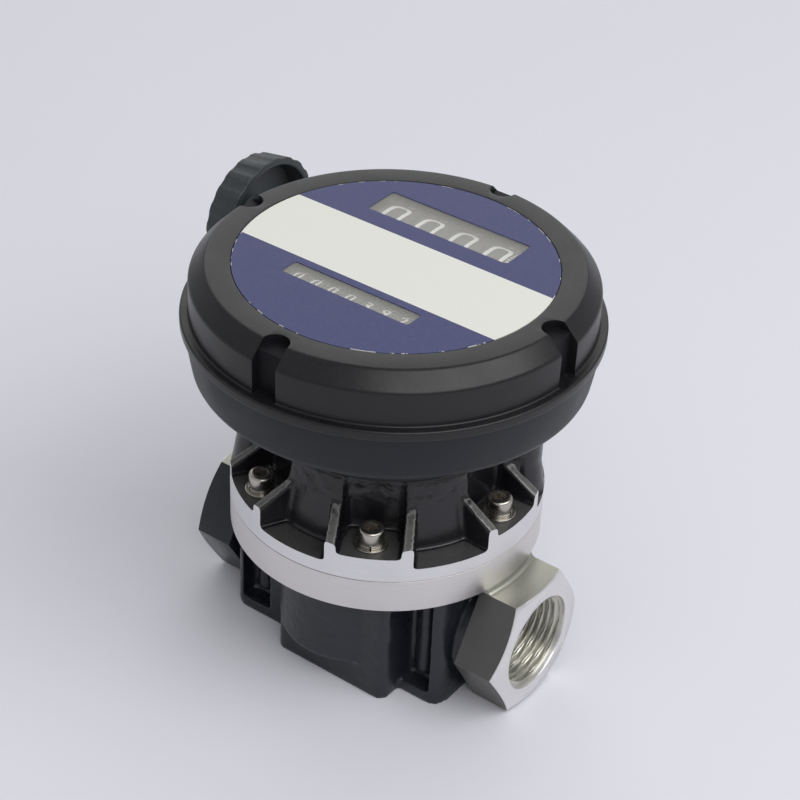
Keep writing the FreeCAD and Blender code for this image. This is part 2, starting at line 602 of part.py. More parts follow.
def make_housing():
    """Moulded bowl with a neck on the cover's hub, a collar for the bezel and the knob's gland."""
    inner_r = BOWL_EDGE_R - BOWL_WALL
    side_top_r = JOINT_R - BOWL_WALL
    profile = [(NECK_IN_R, GASKET_Z), (HUB_TOP_R, GASKET_Z), (HUB_TOP_R, BOWL_FOOT_Z),
               (BOWL_EDGE_R - BOWL_ROUND, BOWL_EDGE_Z - BOWL_ROUND * BOWL_RISE), (BOWL_EDGE_R, BOWL_EDGE_Z),
               (JOINT_R, JOINT_Z), (COLLAR_R, JOINT_Z), (COLLAR_R, COLLAR_TOP_Z),
               (COLLAR_IN_R, COLLAR_TOP_Z), (COLLAR_IN_R, JOINT_Z), (side_top_r, JOINT_Z - BOWL_WALL * 2),
               (inner_r, bowl_inner(inner_r)), (FLOOR_R, FLOOR_Z), (NECK_IN_R, FLOOR_Z)]
    shell = lathe(profile)
    gland = rod(GLAND_R, GLAND_X, GLAND_IN_X, RESET_Y, RESET_Z)
    below_joint = box(GLAND_X, 0, RESET_Y - GLAND_R, RESET_Y + GLAND_R, RESET_Z - GLAND_R, JOINT_Z - GAP)
    shell = shell.fuse(gland.common(below_joint))
    cuts = [rod(KNOB_BUSH_R + SEAT, GLAND_X - OVERCUT, GLAND_IN_X + OVERCUT, RESET_Y, RESET_Z)]
    hole_r = HOUSING_SCREW_R + CLEARANCE_HOLE
    hole = cyl(hole_r, GASKET_Z - OVERCUT, FLOOR_Z + OVERCUT, HOUSING_SCREW_CIRCLE)
    cuts += [turned(hole, a) for a in HOUSING_SCREW_ANGLES]
    for x, y in frame_screw_places():
        cuts.append(cyl(FRAME_SCREW_R, BASE_TOP_Z + PLATE_T - FRAME_SCREW_GRIP - SCREW_TIP_GAP,
                        FLOOR_Z + OVERCUT, x, y))
    return shell.cut(cuts).removeSplitter()


def make_housing_gasket():
    """Flat ring on the hub's top, cut away over the screw pockets."""
    ring = tube(NECK_IN_R, HUB_TOP_R, COVER_TOP_Z, GASKET_Z)
    hole = cyl(HOUSING_SCREW_R + CLEARANCE_HOLE, COVER_TOP_Z, GASKET_Z, HOUSING_SCREW_CIRCLE)
    cuts = [turned(hole, a) for a in HOUSING_SCREW_ANGLES]
    return ring.cut(cuts + around(screw_pocket(GASKET_Z + OVERCUT), SCREW_COUNT))


def make_housing_screws():
    one = screw(HOUSING_SCREW_HEAD_R, HOUSING_SCREW_HEAD_H, HOUSING_SCREW_R, HOUSING_SCREW_LENGTH,
                FLOOR_Z, HOUSING_SCREW_CIRCLE, 0)
    return [turned(one, a) for a in HOUSING_SCREW_ANGLES]


def make_bezel():
    """Screw-on ring with a chamfered face and spanner notches."""
    lip_z = JOINT_Z + BEZEL_LIP_T
    chamfer_z = BEZEL_TOP_Z - BEZEL_CHAMFER_H
    profile = [(OPENING_R, BEZEL_TOP_Z), (BEZEL_FACE_R, BEZEL_TOP_Z), (BEZEL_WALL_R, chamfer_z),
               (BEZEL_WALL_R, lip_z), (BEZEL_LIP_R, lip_z), (BEZEL_LIP_R, JOINT_Z), (BEZEL_BORE_R, JOINT_Z),
               (BEZEL_BORE_R, BEZEL_SHELF_Z), (OPENING_R, BEZEL_SHELF_Z)]
    ring = lathe(profile)
    shelf_z = BEZEL_TOP_Z - NOTCH_SHELF_T
    end_x = NOTCH_IN_R + NOTCH_W / 2
    top = BEZEL_TOP_Z + OVERCUT
    shelf = cyl(NOTCH_W / 2, shelf_z, top, end_x)
    shelf = shelf.fuse(box(end_x, BEZEL_LIP_R + OVERCUT, -NOTCH_W / 2, NOTCH_W / 2, shelf_z, top))
    wall = box(BEZEL_BORE_R + NOTCH_WALL, BEZEL_LIP_R + OVERCUT, -NOTCH_W / 2, NOTCH_W / 2, lip_z, top)
    return ring.cut(around(shelf.fuse(wall), NOTCH_COUNT)).removeSplitter()


def make_lens():
    """Clear cup: a flange under the bezel and a raised face that carries the label."""
    face_r = OPENING_R - GAP / 2
    return lathe([(0, LENS_UNDER_Z), (face_r - LENS_T, LENS_UNDER_Z), (face_r - LENS_T, LENS_FLANGE_Z),
                  (LENS_R, LENS_FLANGE_Z), (LENS_R, BEZEL_SHELF_Z), (face_r, BEZEL_SHELF_Z), (face_r, LABEL_Z),
                  (0, LABEL_Z)])


def make_lens_gasket():
    return tube(COLLAR_IN_R, LENS_R, COLLAR_TOP_Z, LENS_FLANGE_Z)


def make_dial_label():
    """Printed sticker with two windows over the counters."""
    top = LABEL_Z + LABEL_T
    windows = [(RESET_HALF + BIG_WINDOW_SIDE, BIG_WINDOW_H, RESET_Y),
               (TOTAL_HALF + SMALL_WINDOW_SIDE, SMALL_WINDOW_H, TOTAL_Y)]
    cuts = [rounded_plan(x, h / 2, WINDOW_ROUND, LABEL_Z, top, 0, y) for x, h, y in windows]
    return cyl(OPENING_R - GAP / 2, LABEL_Z, top).cut(cuts)


def wheel_ends(index, pitch, half):
    """Rim ends of a wheel; wheel 1 is the units wheel at the +X end."""
    right = half - (index - 1) * pitch
    return right - pitch + WHEEL_SLIT / 2, right - WHEEL_SLIT / 2


def make_wheel(index, pitch, half, rim_r, shaft_r, y, z):
    """Number wheel: rim, web and hub in one turned form."""
    x0, x1 = wheel_ends(index, pitch, half)
    bore, hub_r = shaft_r + RUN, shaft_r + RUN + HUB_WALL
    rim_in = rim_r - WHEEL_RIM
    web0, web1 = (x0 + x1 - WHEEL_WEB) / 2, (x0 + x1 + WHEEL_WEB) / 2
    return lathe_x([(x0, bore), (x1, bore), (x1, hub_r), (web1, hub_r), (web1, rim_in), (x1, rim_in),
                    (x1, rim_r), (x0, rim_r), (x0, rim_in), (web0, rim_in), (web0, hub_r), (x0, hub_r)], y, z)


def make_input_gear(teeth, half, shaft_r, y, z, phase):
    """Gear with a hub that is pressed against the units wheel."""
    gear = spur(teeth, MODULE, GEAR_X, GEAR_X + GEAR_W, y, z, phase)
    hub = rod(shaft_r + RUN + HUB_WALL, half - WHEEL_SLIT / 2, GEAR_X + GEAR_W, y, z)
    return gear.fuse(hub).cut(rod(shaft_r + RUN, 0, RIGHT_PLATE_X, y, z)).removeSplitter()


def transfer_place(y, z, wheel_r, pinion_r, angle):
    dy, dz = polar(wheel_r + pinion_r + GAP, angle)
    return y + dy, z + dz


def make_pinions(count, pitch, half, tip_r, place):
    """One carry pinion across each pair of neighbouring wheels."""
    width = PINION_WIDTH * pitch
    pinions = []
    for i in range(1, count):
        x = half - i * pitch
        one = spur(PINION_TEETH, tip_module(tip_r, PINION_TEETH), x - width / 2, x + width / 2, *place)
        pinions.append(one.cut(rod(TRANSFER_SHAFT_R + RUN, x - width, x + width, *place)))
    return pinions


def frame_screw_places():
    """Screws through the inward feet of the side plates, two on each."""
    places = []
    for x in (LEFT_PLATE_X + FRAME_SCREW_INSET, RIGHT_PLATE_X + PLATE_T - FRAME_SCREW_INSET):
        for y, inset in zip(FRAME_FOOT_Y, (FRAME_SCREW_INSET, -FRAME_SCREW_INSET)):
            places.append((x, y + inset))
    return places


def make_base_plate():
    plate = cyl(FLOOR_R - GAP, FLOOR_Z, BASE_TOP_Z)
    head = cyl(HOUSING_SCREW_HEAD_R + GAP, FLOOR_Z, BASE_TOP_Z, HOUSING_SCREW_CIRCLE)
    cuts = [turned(head, a) for a in HOUSING_SCREW_ANGLES]
    cuts.append(cyl(SPINDLE_R + RUN + BUSH_WALL + SEAT, FLOOR_Z, BASE_TOP_Z, 0, -ROTOR_Y))
    cuts += [cyl(FRAME_SCREW_R + CLEARANCE_HOLE, FLOOR_Z, BASE_TOP_Z, x, y) for x, y in frame_screw_places()]
    return plate.cut(cuts)


def make_side_plate(x0, inward, shafts):
    """Folded plate with an inward foot and holes for (radius, y, z) shafts."""
    y0, y1 = FRAME_FOOT_Y
    out_y0, out_y1 = TOTAL_Y - PLATE_EDGE, RESET_Y + PLATE_EDGE
    shoulder_z = CROSS_Z - CROSS_SHAFT_R
    outline = [(y0, BASE_TOP_Z), (y1, BASE_TOP_Z), (out_y1, shoulder_z), (out_y1, RESET_Z + PLATE_EDGE),
               (RESET_Y / 2, FRAME_TOP_Z), (out_y0 + HUB_WALL, FRAME_TOP_Z), (out_y0, FRAME_TOP_Z - HUB_WALL),
               (out_y0, shoulder_z)]
    plate = loop([V(x0, y, z) for y, z in outline]).extrude(V(PLATE_T, 0, 0))
    foot_x = sorted((x0 + PLATE_T / 2, x0 + PLATE_T / 2 + inward * (FOOT_FLANGE + PLATE_T / 2)))
    plate = plate.fuse(box(foot_x[0], foot_x[1], y0, y1, BASE_TOP_Z, BASE_TOP_Z + PLATE_T))
    cuts = [rod(r, x0 - OVERCUT, x0 + PLATE_T + OVERCUT, y, z) for r, y, z in shafts]
    for x, y in frame_screw_places():
        cuts.append(cyl(FRAME_SCREW_R + CLEARANCE_HOLE, BASE_TOP_Z - OVERCUT, BASE_TOP_Z + 2 * OVERCUT, x, y))
    return plate.cut(cuts).removeSplitter()


def make_frame_screws():
    z = BASE_TOP_Z + PLATE_T
    return [screw(FRAME_SCREW_HEAD_R, FRAME_SCREW_HEAD_H, FRAME_SCREW_R, FRAME_SCREW_GRIP, z, x, y)
            for x, y in frame_screw_places()]


def make_worm():
    """Worm drawn as a grooved sleeve on the spindle."""
    z0 = CROSS_Z - WORM_L / 2
    pitch = WORM_L / WORM_TURNS
    profile = [(SPINDLE_R + SEAT, z0)]
    for i in range(WORM_TURNS):
        z = z0 + i * pitch
        radii = (WORM_ROOT_R, WORM_R, WORM_R, WORM_ROOT_R)
        profile.append((WORM_ROOT_R, z))
        profile += [(r, z + share * pitch) for r, share in zip(radii, WORM_FLANKS)]
    profile += [(WORM_ROOT_R, z0 + WORM_L), (SPINDLE_R + SEAT, z0 + WORM_L)]
    return lathe(profile, -ROTOR_Y)


def make_knob():
    """Fluted knob, hollow on the side that faces the bezel."""
    y, z = RESET_Y, RESET_Z
    disc = rod(KNOB_R, KNOB_FACE_X, KNOB_X, y, z)
    flute_x0, flute_x1 = KNOB_FACE_X - OVERCUT, KNOB_X + OVERCUT
    flutes = []
    for i in range(KNOB_FLUTES):
        dy, dz = polar(KNOB_R + KNOB_FLUTE_R - KNOB_FLUTE_DEPTH, 360.0 * i / KNOB_FLUTES)
        flutes.append(rod(KNOB_FLUTE_R, flute_x0, flute_x1, y + dy, z + dz))
    hollow = rod(KNOB_R - KNOB_FLUTE_DEPTH - KNOB_RIM, KNOB_FACE_X + KNOB_WEB, flute_x1, y, z)
    hub = rod(KNOB_HUB_R, KNOB_FACE_X + KNOB_WEB, KNOB_X + KNOB_RIM, y, z)
    knob = disc.cut(flutes + [hollow]).fuse(hub)
    bore = rod(RESET_SHAFT_R + SEAT, RESET_SHAFT_END_X, KNOB_X + KNOB_RIM + OVERCUT, y, z)
    through = rod(KNOB_SCREW_R + CLEARANCE_HOLE, KNOB_FACE_X, KNOB_X, y, z)
    recess = rod(KNOB_SCREW_HEAD_R + CLEARANCE_HOLE, flute_x0, KNOB_SEAT_X, y, z)
    return knob.cut([bore, through, recess]).removeSplitter()


def make_reset_shaft():
    shaft = rod(RESET_SHAFT_R, RESET_SHAFT_END_X, RIGHT_PLATE_X + PLATE_T, RESET_Y, RESET_Z)
    tap_end_x = KNOB_SEAT_X + KNOB_SCREW_LENGTH + SCREW_TIP_GAP
    tap = rod(KNOB_SCREW_R, RESET_SHAFT_END_X, tap_end_x, RESET_Y, RESET_Z)
    return shaft.cut(tap)


def make_knob_screw():
    y, z = RESET_Y, RESET_Z
    head = rod(KNOB_SCREW_HEAD_R, KNOB_SEAT_X - KNOB_SCREW_HEAD_H, KNOB_SEAT_X, y, z)
    return head.fuse(rod(KNOB_SCREW_R - SEAT, KNOB_SEAT_X, KNOB_SEAT_X + KNOB_SCREW_LENGTH, y, z))


def save(name, shape):
    """Write one node; a list of solids becomes one group."""
    if isinstance(shape, list):
        shape = Part.makeCompound(shape)
    shape.exportStep("parts/%s.step" % name)


def build_meter():
    save("meter_body", make_body())
    save("body_seal", make_body_seal())
    save("rotor_pins", make_rotor_pins())
    save("drive_oval_gear", make_oval_gear(-ROTOR_Y, 0, True))
    save("idler_oval_gear", make_oval_gear(ROTOR_Y, 90, False))
    save("drive_gear_bush", make_gear_bush(-ROTOR_Y))
    save("idler_gear_bush", make_gear_bush(ROTOR_Y))
    save("drive_magnet", make_drive_magnet())
    save("rotor_cover", make_cover())
    save("cover_screws", make_cover_screws())
    save("cover_washers", make_cover_washers())


def build_case():
    save("register_housing", make_housing())
    save("housing_gasket", make_housing_gasket())
    save("housing_screws", make_housing_screws())
    save("bezel", make_bezel())
    save("lens", make_lens())
    save("lens_gasket", make_lens_gasket())
    save("dial_label", make_dial_label())
    save("reset_knob", make_knob())
    save("knob_screw", make_knob_screw())
    save("reset_shaft", make_reset_shaft())
    bush_in = RESET_SHAFT_R + RUN
    seal_x = GLAND_X + KNOB_SEAL_T
    save("knob_seal", sleeve(bush_in, KNOB_BUSH_R, GLAND_X, seal_x, RESET_Y, RESET_Z))
    save("knob_bush", sleeve(bush_in, KNOB_BUSH_R, seal_x, GLAND_IN_X, RESET_Y, RESET_Z))


def build_register():
    reset, total, cross = (RESET_Y, RESET_Z), (TOTAL_Y, TOTAL_Z), (CROSS_Y, CROSS_Z)
    magnet_z = PARTING_Z + MEMBRANE_T + GAP
    spindle_top = CROSS_Z + WORM_L / 2 + SPINDLE_END
    save("follower_magnet", tube(SPINDLE_R + SEAT, MAGNET_R, magnet_z, magnet_z + MAGNET_T, 0, -ROTOR_Y))
    save("register_spindle", cyl(SPINDLE_R, magnet_z, spindle_top, 0, -ROTOR_Y))
    lower_z = COVER_TOP_Z - NECK_H
    save("lower_spindle_bush", tube(SPINDLE_R + RUN, WELL_R - SEAT, lower_z, COVER_TOP_Z, 0, -ROTOR_Y))
    upper_out = SPINDLE_R + RUN + BUSH_WALL
    save("upper_spindle_bush", tube(SPINDLE_R + RUN, upper_out, FLOOR_Z, BASE_TOP_Z + BUSH_WALL, 0, -ROTOR_Y))
    save("worm", make_worm())

    wheel = spur(WORM_WHEEL_TEETH, tip_module(WORM_WHEEL_R, WORM_WHEEL_TEETH), -WORM_WHEEL_W / 2,
                 WORM_WHEEL_W / 2, *cross)
    save("worm_wheel", wheel.cut(rod(CROSS_SHAFT_R + SEAT, -WORM_WHEEL_W, WORM_WHEEL_W, *cross)))
    save("cross_shaft", rod(CROSS_SHAFT_R, LEFT_PLATE_X, RIGHT_PLATE_X + PLATE_T, *cross))
    gear_end = GEAR_X + GEAR_W
    gear = spur(CROSS_TEETH, MODULE, GEAR_X, gear_end, *cross)
    save("cross_gear", gear.cut(rod(CROSS_SHAFT_R + SEAT, 0, gear_end + OVERCUT, *cross)))

    near = MODULE * (CROSS_TEETH + IDLER_TEETH) / 2
    studs = []
    for name, target, teeth, wheel_half, shaft_r, side in (
            ("reset", reset, RESET_INPUT_TEETH, RESET_HALF, RESET_SHAFT_R, -1),
            ("total", total, TOTAL_INPUT_TEETH, TOTAL_HALF, TOTAL_SHAFT_R, -1)):
        idler = apart(cross, target, near, MODULE * (teeth + IDLER_TEETH) / 2, side)
        idler_phase = mesh_phase(CROSS_TEETH, 0.0, IDLER_TEETH, direction(cross, idler))
        gear_phase = mesh_phase(IDLER_TEETH, idler_phase, teeth, direction(idler, target))
        gear = spur(IDLER_TEETH, MODULE, GEAR_X, gear_end, *idler, idler_phase)
        save(name + "_idler_gear", gear.cut(rod(STUD_R + RUN, 0, RIGHT_PLATE_X, *idler)))
        save(name + "_input_gear", make_input_gear(teeth, wheel_half, shaft_r, *target, gear_phase))
        studs.append(idler)
    save("idler_studs", [rod(STUD_R, GEAR_X, RIGHT_PLATE_X + PLATE_T, *place) for place in studs])

    for i in range(1, RESET_WHEELS + 1):
        wheel = make_wheel(i, RESET_PITCH, RESET_HALF, RESET_WHEEL_R, RESET_SHAFT_R, *reset)
        save("reset_wheel_%d" % i, wheel)
    for i in range(1, TOTAL_WHEELS + 1):
        wheel = make_wheel(i, TOTAL_PITCH, TOTAL_HALF, TOTAL_WHEEL_R, TOTAL_SHAFT_R, *total)
        save("total_wheel_%d" % i, wheel)

    reset_carry = transfer_place(*reset, RESET_WHEEL_R, RESET_PINION_R, RESET_TRANSFER_ANGLE)
    total_carry = transfer_place(*total, TOTAL_WHEEL_R, TOTAL_PINION_R, TOTAL_TRANSFER_ANGLE)
    pinions = make_pinions(RESET_WHEELS, RESET_PITCH, RESET_HALF, RESET_PINION_R, reset_carry)
    save("reset_carry_pinions", pinions)
    pinions = make_pinions(TOTAL_WHEELS, TOTAL_PITCH, TOTAL_HALF, TOTAL_PINION_R, total_carry)
    save("total_carry_pinions", pinions)
    shaft_x = (LEFT_PLATE_X, RIGHT_PLATE_X + PLATE_T)
    save("counter_shaft", rod(TOTAL_SHAFT_R, *shaft_x, *total))
    save("reset_carry_shaft", rod(TRANSFER_SHAFT_R, *shaft_x, *reset_carry))
    save("total_carry_shaft", rod(TRANSFER_SHAFT_R, *shaft_x, *total_carry))

    shafts = [(RESET_SHAFT_R + RUN, *reset), (CROSS_SHAFT_R + RUN, *cross), (TOTAL_SHAFT_R + SEAT, *total),
              (TRANSFER_SHAFT_R + SEAT, *reset_carry), (TRANSFER_SHAFT_R + SEAT, *total_carry)]
    stud_holes = [(STUD_R + SEAT, *place) for place in studs]
    save("frame_base_plate", make_base_plate())
    save("left_side_plate", make_side_plate(LEFT_PLATE_X, 1, shafts))
    save("right_side_plate", make_side_plate(RIGHT_PLATE_X, -1, shafts + stud_holes))
    save("frame_screws", make_frame_screws())


os.makedirs("parts", exist_ok=True)
build_meter()
build_case()
build_register()
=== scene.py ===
# %% [markdown]
# # Oval gear flow meter
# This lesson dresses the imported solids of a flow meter: a cast body with two pipe ports, a ribbed cover
# held by six screws, and a round register with number wheels under a printed window.
# Sizes are written in millimetres, as on a drawing, and turned into Blender's metres by MM.

# %% Load the solids
import json
import math

import bmesh
import bpy
from mathutils import Matrix, Vector, noise


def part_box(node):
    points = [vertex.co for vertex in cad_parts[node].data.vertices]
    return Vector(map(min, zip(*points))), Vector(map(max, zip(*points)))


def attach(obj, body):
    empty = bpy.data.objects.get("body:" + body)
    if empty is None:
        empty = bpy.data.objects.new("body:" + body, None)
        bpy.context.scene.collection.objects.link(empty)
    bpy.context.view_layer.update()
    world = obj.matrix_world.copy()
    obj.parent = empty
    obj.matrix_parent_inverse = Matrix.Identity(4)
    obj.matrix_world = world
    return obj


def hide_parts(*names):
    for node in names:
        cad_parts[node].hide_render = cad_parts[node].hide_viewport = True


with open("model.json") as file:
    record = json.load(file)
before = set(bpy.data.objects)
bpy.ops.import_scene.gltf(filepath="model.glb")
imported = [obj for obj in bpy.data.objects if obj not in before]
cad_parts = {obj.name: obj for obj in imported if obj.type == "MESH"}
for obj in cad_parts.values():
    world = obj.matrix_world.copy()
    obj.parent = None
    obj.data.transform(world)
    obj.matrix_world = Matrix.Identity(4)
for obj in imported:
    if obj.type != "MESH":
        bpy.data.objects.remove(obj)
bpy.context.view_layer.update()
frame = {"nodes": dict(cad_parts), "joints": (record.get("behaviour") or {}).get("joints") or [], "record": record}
nodes = frame["nodes"]
MM = 0.001


# %% Places read from the solids
def span(name):
    """Lowest and highest (x, y, z) of a solid, in millimetres to the nearest tenth."""
    return [[round(c / MM, 1) for c in corner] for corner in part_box(name)]


def axis_of(body):
    """Point on the axis that a body turns about, in millimetres."""
    joint = next(j for j in frame["joints"] if j["child"] == body)
    return [round(c / MM, 2) for c in joint["pos_m"]]


print("the knob turns about", axis_of("knob"))

# %% [markdown]
# ## Camera
# The photograph was matched with a plain pinhole: its pixel focal length, the two angles it looks along,
# a slight tilt of the hand, and the point at the middle of the picture. A lens in millimetres follows from
# the focal length, because Blender measures it against a sensor that is 36 mm wide.

# %% Camera
FRAME_PIXELS = 800
FOCUS_PIXELS = 2066.9
SENSOR_MM = 36.0
AZIMUTH, ELEVATION, TILT = (math.radians(a) for a in (35.02, 35.04, 2.625))
CAMERA_DISTANCE = 681.0
AIM = Vector((2.57, 1.80, 93.85))

back = Vector((math.sin(AZIMUTH) * math.cos(ELEVATION), -math.cos(AZIMUTH) * math.cos(ELEVATION),
               math.sin(ELEVATION)))
level = Vector((math.cos(AZIMUTH), math.sin(AZIMUTH), 0))
upright = back.cross(level)
right = math.cos(TILT) * level + math.sin(TILT) * upright
up = back.cross(right)
lens_data = bpy.data.cameras.new("photo_camera")
lens_data.sensor_width = SENSOR_MM
lens_data.lens = FOCUS_PIXELS / FRAME_PIXELS * SENSOR_MM
camera = bpy.data.objects.new("photo_camera", lens_data)
bpy.context.collection.objects.link(camera)
place = (AIM + back * CAMERA_DISTANCE) * MM
camera.matrix_world = Matrix.Translation(place) @ Matrix((right, up, back)).transposed().to_4x4()
bpy.context.scene.camera = camera
bpy.context.scene.view_settings.view_transform = "Standard"
print("lens", round(lens_data.lens, 2), "mm")

# %% [markdown]
# ## Shared surface effects
# Real finishes are never one flat value. Each effect below is a node group that puts out masks and heights,
# so every material can place it with its own scale: grain for moulded plastic, streaks for turned metal,
# and dust that settles on what faces up.

# %% Node group helpers
def effect(name, inputs, outputs):
    """An empty shader node group with named sockets."""
    tree = bpy.data.node_groups.new(name, "ShaderNodeTree")
    for label, kind, value in inputs:
        socket = tree.interface.new_socket(label, in_out="INPUT", socket_type="NodeSocket" + kind)
        if value is not None:
            socket.default_value = value
    for label in outputs:
        tree.interface.new_socket(label, in_out="OUTPUT", socket_type="NodeSocketFloat")
    return tree, tree.nodes.new("NodeGroupInput"), tree.nodes.new("NodeGroupOutput")


def node(tree, kind, links=(), **settings):
    """A node with its inputs linked by name and its settings set."""
    made = tree.nodes.new("ShaderNode" + kind)
    for key, value in settings.items():
        setattr(made, key, value)
    for key, value in dict(links).items():
        if isinstance(value, bpy.types.NodeSocket):
            tree.links.new(value, made.inputs[key])
        else:
            made.inputs[key].default_value = value
    return made


def math_node(tree, operation, a, b=0.0):
    """Result of one sum on numbers or sockets."""
    return node(tree, "Math", {0: a, 1: b}, operation=operation).outputs[0]


def noise_node(tree, vector, scale, detail):
    """Noise from 0 to 1, finer with a larger scale."""
    return node(tree, "TexNoise", {"Vector": vector, "Scale": scale, "Detail": detail}).outputs["Fac"]


# %% Moulding grain: a fine skin and slow mottling
SLOW_SHARE = 0.03


def moulding_grain():
    tree, given, result = effect("moulding_grain", [("Vector", "Vector", None), ("Size", "Float", 2500.0)],
                                 ["Height", "Mottle"])
    vector, size = given.outputs["Vector"], given.outputs["Size"]
    fine = noise_node(tree, vector, size, 2.0)
    slow = noise_node(tree, vector, math_node(tree, "MULTIPLY", size, SLOW_SHARE), 4.0)
    tree.links.new(fine, result.inputs["Height"])
    tree.links.new(slow, result.inputs["Mottle"])
    return tree


grain = moulding_grain()
print(grain.name, "has", len(grain.nodes), "nodes")


# %% Tool marks: streaks that run round the Z axis of the vector, for turned faces and rims
STREAK_SHARE, PATCH_SCALE = 0.55, 90.0


def tool_marks():
    tree, given, result = effect("tool_marks", [("Vector", "Vector", None), ("Pitch", "Float", 9000.0)],
                                 ["Height", "Tone"])
    vector = given.outputs["Vector"]
    x, y, z = node(tree, "SeparateXYZ", {0: vector}).outputs
    squares = math_node(tree, "ADD", math_node(tree, "POWER", x, 2.0), math_node(tree, "POWER", y, 2.0))
    ring = node(tree, "CombineXYZ", {0: math_node(tree, "SQRT", squares), 1: z}).outputs[0]
    streak = noise_node(tree, ring, given.outputs["Pitch"], 3.0)
    patch = noise_node(tree, vector, PATCH_SCALE, 3.0)
    tone = math_node(tree, "ADD", math_node(tree, "MULTIPLY", streak, STREAK_SHARE),
                     math_node(tree, "MULTIPLY", patch, 1 - STREAK_SHARE))
    tree.links.new(streak, result.inputs["Height"])
    tree.links.new(tone, result.inputs["Tone"])
    return tree


marks = tool_marks()
print(marks.name, "has", len(marks.nodes), "nodes")


# %% Settled dust: a broken film on faces that look up
SPECK_SCALE = 700.0
SPECK_LOW, SPECK_HIGH = 0.45, 0.8
FACING_LOW = 0.3


def settled_dust():
    tree, given, result = effect(
        "settled_dust", [("Vector", "Vector", None), ("Amount", "Float", 0.3)], ["Mask"])
    rise = node(tree, "SeparateXYZ", {0: node(tree, "NewGeometry").outputs["Normal"]}).outputs[2]
    facing = node(tree, "MapRange", {0: rise, 1: FACING_LOW, 2: 1.0}).outputs[0]
    specks = noise_node(tree, given.outputs["Vector"], SPECK_SCALE, 6.0)
    specks = node(tree, "MapRange", {0: specks, 1: SPECK_LOW, 2: SPECK_HIGH}).outputs[0]
    film = math_node(tree, "MULTIPLY", math_node(tree, "MULTIPLY", facing, specks), given.outputs["Amount"])
    tree.links.new(film, result.inputs["Mask"])
    return tree


dust = settled_dust()
print("effects:", [group.name for group in bpy.data.node_groups])

# %% [markdown]
# ## Finishes
# A material starts from the Principled shader. What is the same all over is set on the shader's own socket;
# what changes over the surface comes from the groups above, read in the piece's own coordinates so that
# it stays put from any side.

# %% Material helpers
MASK_LOW, MASK_HIGH = 0.25, 0.75


def finish(name, colour, roughness, metallic=0.0, shine=0.5):
    """A new material with its Principled shader and object coordinates at hand."""
    material = bpy.data.materials.new(name)
    material.use_nodes = True
    tree = material.node_tree
    shader = tree.nodes["Principled BSDF"]
    shader.inputs["Base Color"].default_value = (*colour, 1)
    shader.inputs["Roughness"].default_value = roughness
    shader.inputs["Metallic"].default_value = metallic
    shader.inputs["Specular IOR Level"].default_value = shine
    coords = node(tree, "TexCoord").outputs["Object"]
    return material, tree, shader, coords


def use(tree, group, vector, **values):
    """Place a shared effect in a material."""
    placed = node(tree, "Group", node_tree=group)
    tree.links.new(vector, placed.inputs["Vector"])
    for key, value in values.items():
        placed.inputs[key].default_value = value
    return placed


def vary(tree, socket, mask, low, high):
    """Drive a number on the shader between two values by a mask."""
    number = node(tree, "MapRange", {0: mask, 1: MASK_LOW, 2: MASK_HIGH, 3: low, 4: high}).outputs[0]
    tree.links.new(number, socket)


def tint(tree, mask, under, over):
    """Colour that goes from under to over with a mask; either may be a socket."""
    mix = node(tree, "Mix", data_type="RGBA")
    tree.links.new(mask, mix.inputs[0])
    for socket, value in ((mix.inputs[6], under), (mix.inputs[7], over)):
        if isinstance(value, bpy.types.NodeSocket):
            tree.links.new(value, socket)
        else:
            socket.default_value = (*value, 1)
    return mix.outputs[2]


def emboss(tree, shader, height, depth):
    """Bump of a depth in millimetres."""
    bump = node(tree, "Bump", {"Height": height, "Distance": depth * MM, "Strength": 1.0})
    tree.links.new(bump.outputs[0], shader.inputs["Normal"])


# %% Moulded plastics
DUST_GREY = (0.30, 0.30, 0.31)
SKIN_GAIN, SKIN_LIFT = 1.5, 0.002


def moulded(name, colour, roughness, size=2500.0, depth=0.03, dusty=0.10, shine=0.5):
    """Satin plastic with the fine skin of its mould and a trace of dust."""
    material, tree, shader, coords = finish(name, colour, roughness, shine=shine)
    skin = use(tree, grain, coords, Size=size)
    vary(tree, shader.inputs["Roughness"], skin.outputs["Mottle"], roughness - 0.05, roughness + 0.08)
    lighter = tuple(c * SKIN_GAIN + SKIN_LIFT for c in colour)
    toned = tint(tree, skin.outputs["Mottle"], colour, lighter)
    film = use(tree, dust, coords, Amount=dusty)
    tree.links.new(tint(tree, film.outputs["Mask"], toned, DUST_GREY), shader.inputs["Base Color"])
    emboss(tree, shader, skin.outputs["Height"], depth)
    return material


bezel_plastic = moulded("bezel_plastic", (0.005, 0.005, 0.006), 0.33, depth=0.015, dusty=0.03, shine=0.42)
# duller, less glossy plastic for the faces inside the notches: painted shade for their dark inside
notch_shade_plastic = moulded("notch_shade_plastic", (0.005, 0.005, 0.007), 0.45, depth=0.015, dusty=0.0, shine=0.12)
housing_plastic = moulded("housing_plastic", (0.006, 0.007, 0.010), 0.42, depth=0.02, dusty=0.04, shine=0.30)
knob_plastic = moulded("knob_plastic", (0.025, 0.031, 0.034), 0.50, size=1800.0, depth=0.05)
rotor_plastic = moulded("rotor_plastic", (0.15, 0.15, 0.16), 0.50, dusty=0.0)
gear_plastic = moulded("gear_plastic", (0.72, 0.71, 0.66), 0.45, dusty=0.0)
wheel_plastic = moulded("wheel_plastic", (0.05, 0.05, 0.05), 0.55, depth=0.002, dusty=0.0)
numeral_ink = moulded("numeral_ink", (0.90, 0.90, 0.87), 0.60, depth=0.002, dusty=0.0)
seal_rubber = moulded("seal_rubber", (0.02, 0.02, 0.02), 0.75, dusty=0.0)
print("plastics:", [material.name for material in bpy.data.materials if material.name.endswith("plastic")])


# %% Metals
STREAK_DARK = 0.76


